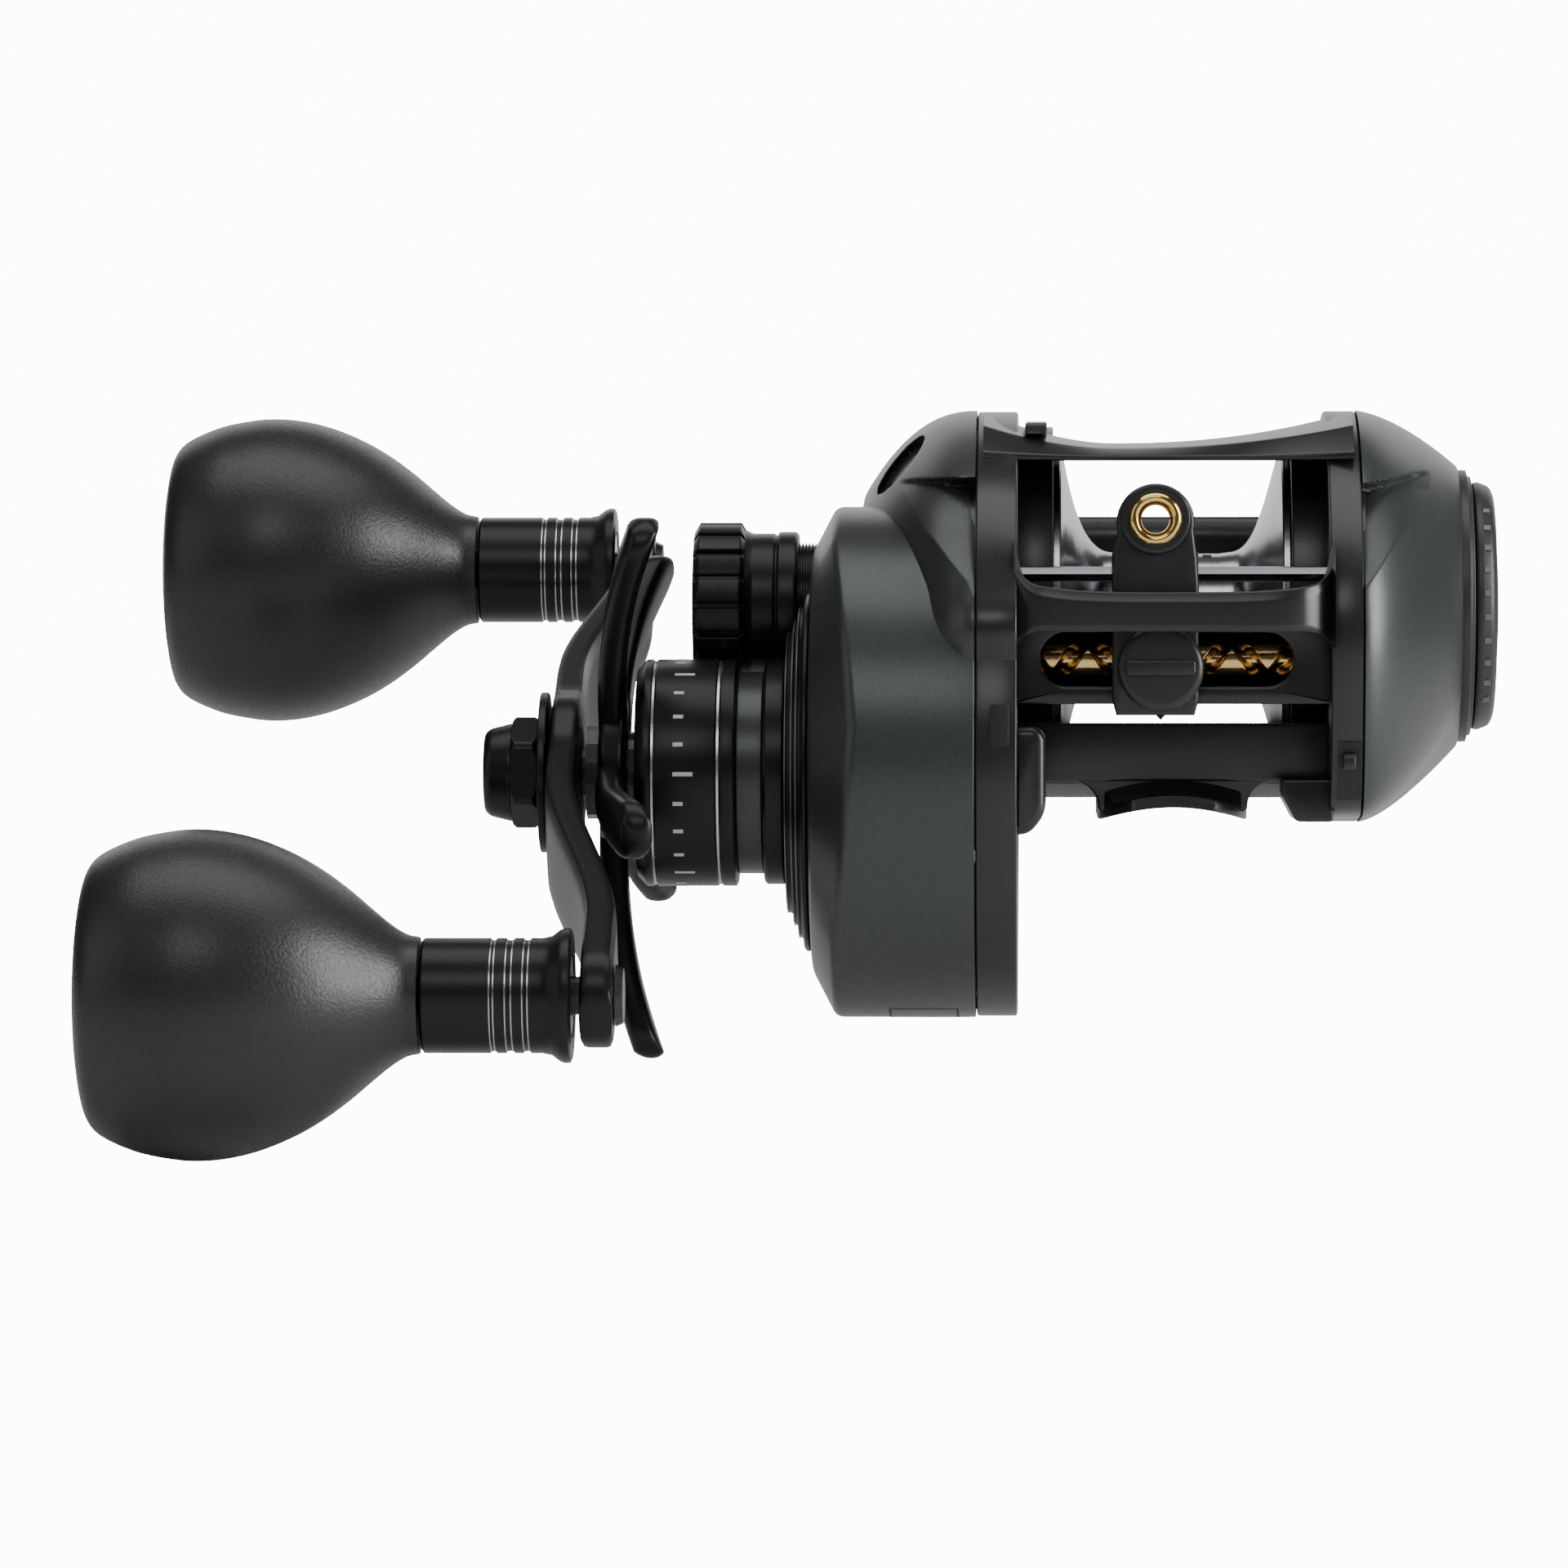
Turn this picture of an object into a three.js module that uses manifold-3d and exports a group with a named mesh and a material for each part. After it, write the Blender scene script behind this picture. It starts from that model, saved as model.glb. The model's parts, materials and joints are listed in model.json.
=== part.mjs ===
// Low-profile baitcasting reel with a cranked double handle, in millimetres.
// X runs from the handle side (-) to the palm side (+), Y from the line guide (-) to the angler (+), Z is up.
// The origin is the middle of the reel foot's underside.
import * as THREE from "three";
import { mergeVertices } from "three/addons/utils/BufferGeometryUtils.js";
import Module from "manifold-3d";

const wasm = await Module();
wasm.setup();

// Driving dimensions.
const GAP = 0.3; // running and assembly gap between neighbouring pieces
const SPOOL_AXIS = { y: 0, z: 24.1 };
const HANDLE_AXIS = { y: -14, z: 3.9 };
const WORM_AXIS = { y: -30, z: 17.6 };
const RAIL_AXIS = { y: -31, z: 27.7 };
const GEAR_PLATE = { left: -23.2, right: -18.5 }; // frame side plate under the gear cover
const PALM_RING = { left: 18.5, right: 22.2 }; // frame ring on the palm side
const ROUND_HOUSING = { y: -14, z: 5.2, r: 30.8 }; // round part of the gear side
const SHOULDER = { y: 2, z: 23.6, r: 24.4 }; // part of the gear side around the spool
const COVER_FACE = -43.2; // outer face of the gear cover
const COVER_EDGE = GEAR_PLATE.left - GAP; // open edge of the gear cover
const COVER_SCREWS = [at(HANDLE_AXIS, 27.2, 200), at(HANDLE_AXIS, 27.2, 318), { y: 15, z: 37.5 }];
const COVER_SCREW_HOLE = 1.4;
const BAR_REACH = 0.4; // how far the bars run into the side plates
const WORM_SLOT = { left: -15.75, right: 14.1, halfHeight: 3.2 };
const SHAFT_BORE = 3.3; // bore of every piece on the drive shaft
const WORM_BORE = 1.8;
const SPOOL_SHAFT_BORE = 1.8;
const PIN_BORE = 1.5;
const WALL = 1.7;
const OIL_PORT = { x0: -33.6, x1: -25.8, y0: -23, y1: -14 };
const SPOOL_RADIUS = 19.7;
const SIDE_OPENING_RADIUS = 20.6;
const HANDLE_TILT = THREE.MathUtils.degToRad(27.5);
const HANDLE_RADIUS = 54.1; // handle axis to knob axis
const STAR_ARMS = 5;
const STAR_RADIUS = 34.6;
const GEAR_MODULE = 0.647;
const MAIN_TEETH = 66;
const PINION_TEETH = 10;
const WINDER_MODULE = 1.003;
const IDLE_TEETH = 28;
const WORM_TEETH = 14;
const GUIDE_X = -2.2; // line guide's middle at rest
const YOKE_PINS = [{ y: 4, z: 36.1 }, { y: 12, z: 15.5 }];
const YOKE_LEFT = -25.6;
const YOKE_RIGHT = -24.6;
const FOOT = { halfWidth: 8.95, halfLength: 31, archRadius: 24.7, flat: 1.5, thickness: 1.9 };
const ARCH_POINTS = [8.95, 6.4, 4];

// ---------------------------------------------------------------- geometry helpers

/** A closed geometry as a manifold-3d solid. */
function toSolid(geometry) {
  const bare = geometry.clone();
  bare.deleteAttribute("normal");
  bare.deleteAttribute("uv");
  const merged = mergeVertices(bare, 1e-4);
  const index = Array.from(merged.index.array);
  const kept = [];
  for (let i = 0; i < index.length; i += 3) {
    const [a, b, c] = index.slice(i, i + 3);
    if (a !== b && b !== c && c !== a) kept.push(a, b, c);
  }
  const vertProperties = new Float32Array(merged.attributes.position.array);
  return new wasm.Manifold(new wasm.Mesh({ numProp: 3, vertProperties, triVerts: new Uint32Array(kept) }));
}

function toGeometry(solid) {
  const mesh = solid.getMesh();
  const geometry = new THREE.BufferGeometry();
  geometry.setAttribute("position", new THREE.BufferAttribute(new Float32Array(mesh.vertProperties), 3));
  geometry.setIndex(new THREE.BufferAttribute(new Uint32Array(mesh.triVerts), 1));
  return geometry;
}

function join(...geometries) {
  return toGeometry(geometries.map(toSolid).reduce((a, b) => a.add(b)));
}

function cut(body, ...tools) {
  return toGeometry(tools.map(toSolid).reduce((a, b) => a.subtract(b), toSolid(body)));
}

function common(a, b) {
  return toGeometry(toSolid(a).intersect(toSolid(b)));
}

/** A Y-Z outline extruded along X. */
function slab(shape, x0, x1, curveSegments = 8) {
  const geometry = new THREE.ExtrudeGeometry(shape, { depth: x1 - x0, bevelEnabled: false, curveSegments });
  const turn = new THREE.Matrix4().makeBasis(
    new THREE.Vector3(0, 1, 0), new THREE.Vector3(0, 0, 1), new THREE.Vector3(1, 0, 0));
  return geometry.applyMatrix4(turn).translate(x0, 0, 0);
}

/** A closed profile of [x, radius] points turned about an axis along X. */
function ring(points, axis, segments = 18) {
  const profile = [...points, points[0]].map(([x, r]) => new THREE.Vector2(r, x));
  const geometry = new THREE.LatheGeometry(profile, segments);
  const turn = new THREE.Matrix4().makeBasis(
    new THREE.Vector3(0, 1, 0), new THREE.Vector3(1, 0, 0), new THREE.Vector3(0, 0, -1));
  return geometry.applyMatrix4(turn).translate(0, axis.y, axis.z);
}

/** A solid of revolution: [x, radius] points from its low end to its high end. */
function turned(points, axis, segments = 18) {
  const first = points[0][0];
  const last = points[points.length - 1][0];
  return ring([[first, 0], ...points, [last, 0]], axis, segments);
}

function rod(x0, x1, radius, axis, segments = 18) {
  return turned([[x0, radius], [x1, radius]], axis, segments);
}

function tube(x0, x1, outer, inner, axis, segments = 18) {
  return ring([[x0, outer], [x1, outer], [x1, inner], [x0, inner]], axis, segments);
}

function block(x0, x1, y0, y1, z0, z1) {
  const geometry = new THREE.BoxGeometry(x1 - x0, y1 - y0, z1 - z0);
  return geometry.translate((x0 + x1) / 2, (y0 + y1) / 2, (z0 + z1) / 2);
}

/** A cylinder along Y, from y0 to y1, about the point (x, z). */
function rodAlongY(y0, y1, radius, x, z, segments = 18) {
  const geometry = new THREE.CylinderGeometry(radius, radius, y1 - y0, segments);
  return geometry.translate(x, (y0 + y1) / 2, z);
}

/** A cylinder along Z, from z0 to z1, about the point (x, y). */
function rodAlongZ(z0, z1, lower, upper, x, y, segments = 16) {
  const geometry = new THREE.CylinderGeometry(upper, lower, z1 - z0, segments).rotateX(Math.PI / 2);
  return geometry.translate(x, y, (z0 + z1) / 2);
}

/** A closed outline from [u, v] points. */
function polygon(points) {
  return new THREE.Shape(points.map(([u, v]) => new THREE.Vector2(u, v)));
}

function at(axis, radius, degrees) {
  const angle = THREE.MathUtils.degToRad(degrees);
  return { y: axis.y + radius * Math.cos(angle), z: axis.z + radius * Math.sin(angle) };
}

/** The outline of two discs and the two straight lines that touch both. */
function twoDiscs(a, b) {
  const dy = b.y - a.y;
  const dz = b.z - a.z;
  const along = Math.atan2(dz, dy);
  const lean = Math.acos((a.r - b.r) / Math.hypot(dy, dz));
  const shape = new THREE.Shape();
  shape.absarc(a.y, a.z, a.r, along + lean, along - lean + 2 * Math.PI, false);
  shape.absarc(b.y, b.z, b.r, along - lean, along + lean, false);
  shape.closePath();
  return shape;
}

/** The outline of a spur gear with straight-flanked teeth; phase turns it, in tooth pitches. */
function gearOutline(teeth, module, axis, phase, share) {
  const pitch = (2 * Math.PI) / teeth;
  const root = module * (teeth / 2 - 1.2);
  const tip = module * (teeth / 2 + 0.95);
  const points = [];
  for (let i = 0; i < teeth; i += 1) {
    const middle = (i + phase) * pitch;
    const corners = [[root, -share * 0.72], [tip, -share * 0.28], [tip, share * 0.28], [root, share * 0.72]];
    for (const [r, offset] of corners) {
      const angle = middle + offset * pitch;
      points.push([axis.y + r * Math.cos(angle), axis.z + r * Math.sin(angle)]);
    }
  }
  return polygon(points);
}

/** How far a driven gear is turned, in tooth pitches, so that it is in mesh with its driver. */
function meshPhase(driver, driverTeeth, driverPhase, driven, drivenTeeth) {
  const towards = Math.atan2(driven.z - driver.z, driven.y - driver.y);
  const back = towards + Math.PI;
  const driverTurn = (towards / (2 * Math.PI)) * driverTeeth - driverPhase;
  const drivenTurn = (back / (2 * Math.PI)) * drivenTeeth;
  return drivenTurn + driverTurn + 0.5;
}

// ---------------------------------------------------------------- model

const reel = new THREE.Group();

function add(name, geometry, color, roughness, metalness) {
  const material = new THREE.MeshStandardMaterial({ color, roughness, metalness });
  const mesh = new THREE.Mesh(geometry, material);
  mesh.name = name;
  reel.add(mesh);
}

const BLACK_PAINT = [0x141615, 0.45, 0.3];
const GREEN_PAINT = [0x2c3330, 0.42, 0.55];
const BLACK_ANODISED = [0x111213, 0.32, 0.7];
const SOFT_TOUCH = [0x101112, 0.62, 0.0];
const STEEL = [0xa8abad, 0.3, 1.0];
const BRASS = [0xc79a4b, 0.3, 1.0];
const SMOKE_ALUMINIUM = [0x6f7375, 0.22, 1.0];
const CARBON = [0x1d1e1f, 0.6, 0.1];

const gearSideOutline = twoDiscs(ROUND_HOUSING, SHOULDER);

function palmOutline(inset = 0) {
  const points = [
    [-38, 18], [-35, 30], [-24, 41.5], [-8, 47.6], [8, 47], [21, 39.5], [28, 26], [25, 10], [14, 1],
    [-2, -1.7], [-20, -1.7], [-33, 1.5],
  ];
  const centre = { y: -4, z: 22 };
  const vectors = points.map(([y, z]) => {
    const reach = Math.hypot(y - centre.y, z - centre.z);
    const scale = (reach - inset) / reach;
    return new THREE.Vector3(centre.y + (y - centre.y) * scale, centre.z + (z - centre.z) * scale, 0);
  });
  const curve = new THREE.CatmullRomCurve3(vectors, true);
  return curve.getPoints(30).slice(0, -1).map((p) => [p.x, p.y]);
}

/** One-piece frame: both side plates, top bar, front crossbar, worm tunnel and floor. */
function makeFrame() {
  const x0 = GEAR_PLATE.right - BAR_REACH;
  const x1 = PALM_RING.left + BAR_REACH;
  const gearPlate = slab(gearSideOutline, GEAR_PLATE.left, GEAR_PLATE.right);
  const palmPlate = slab(polygon(palmOutline()), PALM_RING.left, PALM_RING.right);
  const barOutline = [[-23, 40.6], [-21.5, 44.2], [-14, 47.2], [-9.5, 46.8], [-10.5, 44.4], [-17, 41.2]];
  const topBar = cut(slab(polygon(barOutline), x0, x1), rodAlongY(-40, 0, 60, 0, 103.6, 64));
  const tunnel = slab(polygon([[-34.2, 12.4], [-34.2, 25.5], [-26, 25.5], [-26, 12.4]]), x0, x1);
  const lip = cut(
    slab(polygon([[-34.2, 25], [-34.2, 28.6], [-32.9, 28.6], [-32.9, 25]]), x0, x1),
    rodAlongY(-40, -20, 60, 0, 85.5, 48));
  const floorOutline = [
    [-25.5, 2.2], [-25.5, 9.9], [-23.6, 9.9], [-21, 3.7], [20.4, 3.7], [21.6, 8.4], [23.4, 8.4], [22, 2.2],
  ];
  const floor = slab(polygon(floorOutline), x0, x1);
  const half = WORM_SLOT.halfHeight;
  const slotLeft = WORM_SLOT.left + half;
  const slotRight = WORM_SLOT.right - half;
  const slot = join(
    block(slotLeft, slotRight, -36, WORM_AXIS.y, WORM_AXIS.z - half, WORM_AXIS.z + half),
    rodAlongY(-36, WORM_AXIS.y, half, slotLeft, WORM_AXIS.z),
    rodAlongY(-36, WORM_AXIS.y, half, slotRight, WORM_AXIS.z));
  const screwHoles = COVER_SCREWS.map((screw) => rod(-24, -17, COVER_SCREW_HOLE, screw, 12));
  const screwSeats = COVER_SCREWS.map((screw) => rod(-20.6, -17, 2.5, screw, 12));
  return cut(
    join(gearPlate, palmPlate, topBar, tunnel, lip, floor),
    slot,
    rod(-24, 21.6, 3.25, WORM_AXIS),
    rod(-21, 21, 1.2, RAIL_AXIS, 12),
    rod(-24, -18, 5.3, SPOOL_AXIS),
    rod(-24, -18, 4.3, HANDLE_AXIS),
    rod(17, 24, SIDE_OPENING_RADIUS, SPOOL_AXIS, 32),
    block(19, 23, -45, -31, -4, 8),
    ...footScrewHoles(1.5, 2.6),
    ...screwHoles,
    ...screwSeats);
}

function footScrewHoles(shank, head) {
  const holes = [];
  for (const y of [-9, 9]) {
    holes.push(rodAlongZ(-1, 4.5, shank, shank, 0, y), rodAlongZ(2.9, 4.5, shank, head, 0, y));
  }
  return holes;
}

/** Foot with an arched underside and a narrow flat along its middle. */
function makeFoot() {
  const arch = (x) => Math.sqrt(FOOT.archRadius ** 2 - x ** 2);
  const drop = (x) => arch(x) - arch(FOOT.flat);
  const lower = ARCH_POINTS.map((x) => [x, drop(x)]);
  const right = [...lower, [FOOT.flat, 0]];
  const underside = [...right, ...right.map(([x, z]) => [-x, z]).reverse()];
  const top = underside.map(([x, z]) => [x, z + FOOT.thickness]).reverse();
  const section = polygon([...underside, ...top]);
  const long = new THREE.ExtrudeGeometry(section, { depth: 2 * FOOT.halfLength, bevelEnabled: false })
    .rotateX(Math.PI / 2).translate(0, FOOT.halfLength, 0);
  const plan = new THREE.Shape();
  const corner = FOOT.halfLength - FOOT.halfWidth * 0.8;
  plan.moveTo(-FOOT.halfWidth - 1, -corner);
  plan.quadraticCurveTo(0, -FOOT.halfLength - 8, FOOT.halfWidth + 1, -corner);
  plan.lineTo(FOOT.halfWidth + 1, corner);
  plan.quadraticCurveTo(0, FOOT.halfLength + 8, -FOOT.halfWidth - 1, corner);
  plan.closePath();
  const cutter = new THREE.ExtrudeGeometry(plan, { depth: 8, bevelEnabled: false }).translate(0, 0, -4);
  return cut(common(long, cutter), ...footScrewHoles(1.5, 1.6));
}

function makeFootScrew(y) {
  return join(rodAlongZ(0.5, 3, 1.2, 1.2, 0, y, 12), rodAlongZ(2.9, 3.6, 1.2, 1.9, 0, y, 12));
}

function makeCoverScrew(screw) {
  return turned([[-29, 1.1], [-20.3, 1.1], [-20.3, 2.1], [-18.8, 2.1]], screw, 12);
}

function coverSolid(inset) {
  const roundPart = turned([
    [COVER_FACE + inset, 25.6 - inset], [-40.4 + inset * 0.6, ROUND_HOUSING.r - 0.5 - inset],
    [-37.6, ROUND_HOUSING.r - inset], [COVER_EDGE + inset, ROUND_HOUSING.r - inset],
  ], ROUND_HOUSING, 28);
  const shoulder = turned([
    [-37.5 + inset, 15.5 - 0.8 * inset], [-27 + 0.4 * inset, SHOULDER.r - 0.2 - inset],
    [COVER_EDGE + inset, SHOULDER.r - inset],
  ], SHOULDER, 24);
  const skirt = slab(
    twoDiscs({ ...ROUND_HOUSING, r: ROUND_HOUSING.r - inset }, { ...SHOULDER, r: SHOULDER.r - inset }),
    -27 + inset, COVER_EDGE + inset);
  return join(roundPart, shoulder, skirt);
}

/** Hollow painted cover of the gear side, open towards the frame. */
function makeGearCover() {
  const neck = tube(-52, -42, 6.4, 5, SPOOL_AXIS);
  const collar = tube(-45, -42, 7.7, 5, SPOOL_AXIS);
  const bosses = COVER_SCREWS.map((screw) => rod(-33, -24, 2.6, screw, 12));
  const bossLimit = coverSolid(WALL / 2);
  const shell = cut(coverSolid(0), cut(coverSolid(WALL), ...bosses));
  return cut(
    join(shell, neck, collar, ...bosses.map((boss) => common(boss, bossLimit))),
    rod(-53, -41, 3.4, SPOOL_AXIS),
    rod(-44, -41, 9.6, HANDLE_AXIS),
    block(OIL_PORT.x0 - GAP, OIL_PORT.x1 + GAP, OIL_PORT.y0 - GAP, OIL_PORT.y1 + GAP, -30, -15),
    block(COVER_EDGE, COVER_EDGE + 2, -60, 60, -40, 60),
    ...COVER_SCREWS.map((screw) => rod(-30, -23, COVER_SCREW_HOLE, screw, 12)));
}

function makeOilPortCover() {
  const shell = cut(coverSolid(0), coverSolid(WALL));
  return common(shell, block(OIL_PORT.x0, OIL_PORT.x1, OIL_PORT.y0, OIL_PORT.y1, -30, -15));
}

function makeCoverRing() {
  const steps = ring([
    [-46.2, 17], [-44.8, 19], [-44.8, 20], [-43.5, 21.6], [-43.5, 13.9], [-46.2, 13.9],
  ], HANDLE_AXIS, 28);
  return cut(steps, rod(-60, -40, 10.8, SPOOL_AXIS));
}

function makeClutchHousing() {
  return ring([
    [-64.3, 12.7], [-63.4, 13.7], [-52.1, 13.7], [-52.1, 12.2], [-49.1, 12.2], [-49.1, 13.5],
    [-43.5, 13.5], [-43.5, 9.6], [-60, 9.6], [-60, 5.6], [-64.3, 5.6],
  ], HANDLE_AXIS, 24);
}

/** Flat fork that holds the pinion by its groove and slides on two pins. */
function makeYoke() {
  const hub = { ...SPOOL_AXIS, r: 6 };
  const plates = YOKE_PINS.map((pin) => slab(twoDiscs(hub, { ...pin, r: 3 }), YOKE_LEFT, YOKE_RIGHT));
  return cut(
    join(...plates),
    rod(-28, -23, 2.8, SPOOL_AXIS),
    block(-28, -23, -8, 0, SPOOL_AXIS.z - 2.8, SPOOL_AXIS.z + 2.8),
    ...YOKE_PINS.map((pin) => rod(-28, -23, PIN_BORE, pin, 12)));
}

function makeYokePin(pin) {
  return turned([[-32, 2.2], [-31.2, 2.2], [-31.2, 1.2], [-23.5, 1.2]], pin, 12);
}

/** Coil spring of round wire around a yoke pin. */
function makeSpring(axis, x0, x1, turns, coilRadius, wireRadius) {
  const points = [];
  const steps = turns * 7;
  for (let i = 0; i <= steps; i += 1) {
    const angle = (i / 7) * 2 * Math.PI;
    points.push(new THREE.Vector3(
      x0 + ((x1 - x0) * i) / steps,
      axis.y + coilRadius * Math.cos(angle),
      axis.z + coilRadius * Math.sin(angle)));
  }
  const wire = new THREE.Shape().absarc(0, 0, wireRadius, 0, 2 * Math.PI, false);
  const path = new THREE.CatmullRomCurve3(points);
  return new THREE.ExtrudeGeometry(wire, { steps, extrudePath: path, bevelEnabled: false, curveSegments: 2 });
}

/** Drive shaft with the step that the handle sits against. */
function makeDriveShaft() {
  return turned([
    [-81, 2.6], [-80.5, 3], [-70.5, 3], [-70.5, 5.6], [-69, 5.6],
    [-69, 3], [-23.6, 3], [-23.6, 2], [-19.4, 2],
  ], HANDLE_AXIS, 14);
}

function makeMainGear() {
  const teeth = slab(gearOutline(MAIN_TEETH, GEAR_MODULE, HANDLE_AXIS, 0, 0.4), -33, -28);
  const boss = rod(-34.6, -32.9, 13, HANDLE_AXIS);
  return cut(join(teeth, boss), rod(-36, -27, SHAFT_BORE, HANDLE_AXIS));
}

function makePinion() {
  const phase = meshPhase(HANDLE_AXIS, MAIN_TEETH, 0, SPOOL_AXIS, PINION_TEETH);
  const teeth = slab(gearOutline(PINION_TEETH, GEAR_MODULE, SPOOL_AXIS, phase, 0.4), -33.6, -26.2);
  const neck = rod(-37.4, -23.6, 2.4, SPOOL_AXIS, 20);
  const collar = rod(-24.3, -23.6, 3.5, SPOOL_AXIS, 20);
  return cut(join(teeth, neck, collar), rod(-39, -22, 1.8, SPOOL_AXIS, 16));
}

function makeIdleGear() {
  const teeth = slab(gearOutline(IDLE_TEETH, WINDER_MODULE, HANDLE_AXIS, 0, 0.42), -26.4, -24.2);
  return cut(teeth, rod(-28, -23, SHAFT_BORE, HANDLE_AXIS));
}

function makeWormGear() {
  const phase = meshPhase(HANDLE_AXIS, IDLE_TEETH, 0, WORM_AXIS, WORM_TEETH);
  const teeth = slab(gearOutline(WORM_TEETH, WINDER_MODULE, WORM_AXIS, phase, 0.42), -26.4, -24.2);
  return cut(teeth, rod(-28, -23, WORM_BORE, WORM_AXIS, 16));
}

/** Worm shaft: thin journals at both ends and a brass barrel between. */
function makeWorm() {
  return turned([
    [-27.2, 1.5], [-17.4, 1.5], [-17.4, 2.25], [16.9, 2.25], [16.9, 1.5], [21, 1.5],
  ], WORM_AXIS, 16);
}

/** Sliding line guide: front block, upright with the eyelet boss and a lug that runs on the rail. */
function makeLineGuide() {
  const half = 5.15;
  const front = block(GUIDE_X - half, GUIDE_X + half, -38.2, -34.5, 11, 29);
  const upright = block(GUIDE_X - 4.3, GUIDE_X + 4.3, -38.2, -34.5, 28, 34.1);
  const head = rodAlongY(-38.2, -34.5, 4.3, GUIDE_X, 34.1);
  const web = block(GUIDE_X - half, GUIDE_X + half, -34.6, -29.2, 28.9, 30.2);
  const lug = block(GUIDE_X - half, GUIDE_X + half, -32.6, -29.2, 26, 30);
  return cut(
    join(front, upright, head, web, lug),
    rod(-20, 20, 1.2, RAIL_AXIS, 12),
    rodAlongY(-40, -30, 3.5, GUIDE_X, 34.1),
    rodAlongY(-40, -30, 2.3, GUIDE_X + 0.6, 16.6, 16));
}

function makeEyelet() {
  const profile = [
    [-39, 1.75], [-38.6, 2.1], [-35, 2.1], [-34.4, 1.75],
    [-34, 2.2], [-34.2, 3.2], [-38.8, 3.2], [-39.2, 2.6],
  ].map(([y, r]) => new THREE.Vector2(r, y)).reverse();
  return new THREE.LatheGeometry([...profile, profile[0]], 16).translate(GUIDE_X, 0, 34.1);
}

function makePawlCap() {
  const x = GUIDE_X + 0.6;
  return join(rodAlongY(-39.6, -38.5, 4.8, x, 16.6), block(x - 4.1, x + 4.1, -40.2, -39.5, 15.6, 17.6));
}

/** Spool with flared flanges and hollowed outer sides. */
function makeSpool() {
  return ring([
    [-14.3, SPOOL_RADIUS], [-13.3, SPOOL_RADIUS], [-11.4, 11.5], [-7.6, 6.4], [7.6, 6.4], [11.2, 11.5],
    [13.3, SPOOL_RADIUS], [14.3, SPOOL_RADIUS], [12.4, 10.8], [8.6, 4.8], [8.6, SPOOL_SHAFT_BORE],
    [-8.6, SPOOL_SHAFT_BORE], [-8.6, 4.8], [-12.6, 10.8],
  ], SPOOL_AXIS, 28);
}

function makeBrakeRotor() {
  return ring([
    [9, 3.6], [15, 3.6], [15, 8.5], [18.9, 8.5],
    [18.9, 7.7], [16, 7.7], [16, SPOOL_SHAFT_BORE], [9, SPOOL_SHAFT_BORE],
  ], SPOOL_AXIS);
}

/** Painted hollow cover of the palm side, stepped inwards towards the dial. */
function makePalmCover() {
  const start = PALM_RING.right + GAP;
  const stations = [start, 26.5, 29.5, 32.5, 35.1];
  const outerInset = [0, 1.6, 4.2, 7.6];
  const innerInset = [2.9, 5.6, 9];
  const step = (inset, i, overlap) => slab(polygon(palmOutline(inset)), stations[i] - overlap, stations[i + 1]);
  const outer = outerInset.map((inset, i) => step(inset, i, 0.01));
  const inner = innerInset.map((inset, i) => step(inset, i, 0.1));
  const dialHole = rod(30, 40, 4.4, SPOOL_AXIS);
  return cut(join(...outer), ...inner, dialHole, block(start - 1, start, -60, 60, -20, 60));
}

function makeBearingHolder() {
  return ring([
    [19.4, 20.3], [21.4, 20.3], [21.4, 6.6], [28.4, 6.6], [28.4, 5.3], [20.8, 5.3], [20.8, 2.4], [19.4, 2.4],
  ], SPOOL_AXIS, 18);
}

function makeMagnetHolder() {
  return ring([
    [22, 12.5], [32.1, 12.5], [32.1, 4.3], [30.4, 4.3], [30.4, 11], [22, 11],
  ], SPOOL_AXIS, 18);
}

function makeBrakeDial() {
  return turned([
    [29.2, 4], [36.7, 4], [36.7, 15], [38.4, 15], [39.4, 13.2], [39.9, 10],
  ], SPOOL_AXIS, 28);
}

/** Cap of the cast control with wide grip ribs, hollow over its threaded neck. */
function makeCastKnob() {
  const ribs = 16;
  const points = [];
  for (let i = 0; i < ribs; i += 1) {
    for (const [share, r] of [[0.1, 9.6], [0.2, 10.2], [0.9, 10.2]]) {
      const angle = ((i + share) / ribs) * 2 * Math.PI;
      points.push([SPOOL_AXIS.y + r * Math.cos(angle), SPOOL_AXIS.z + r * Math.sin(angle)]);
    }
  }
  const grip = slab(polygon(points), -58.1, -51.8);
  const waist = rod(-52, -45.3, 9.1, SPOOL_AXIS);
  return cut(join(grip, waist), rod(-55.6, -44, 6.8, SPOOL_AXIS, 20));
}

/** Curved strip along the handle: its [distance, x] profile, carried across the handle's width. */
function alongHandle(points, halfWidth) {
  const turn = new THREE.Matrix4().makeBasis(
    new THREE.Vector3(0, Math.cos(HANDLE_TILT), Math.sin(HANDLE_TILT)),
    new THREE.Vector3(1, 0, 0),
    new THREE.Vector3(0, Math.sin(HANDLE_TILT), -Math.cos(HANDLE_TILT)));
  const geometry = new THREE.ExtrudeGeometry(polygon(points), { depth: 2 * halfWidth, bevelEnabled: false });
  return geometry.translate(0, 0, -halfWidth).applyMatrix4(turn).translate(0, HANDLE_AXIS.y, HANDLE_AXIS.z);
}

function knobAxis(end) {
  return {
    y: HANDLE_AXIS.y + end * HANDLE_RADIUS * Math.cos(HANDLE_TILT),
    z: HANDLE_AXIS.z + end * HANDLE_RADIUS * Math.sin(HANDLE_TILT),
  };
}

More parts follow.
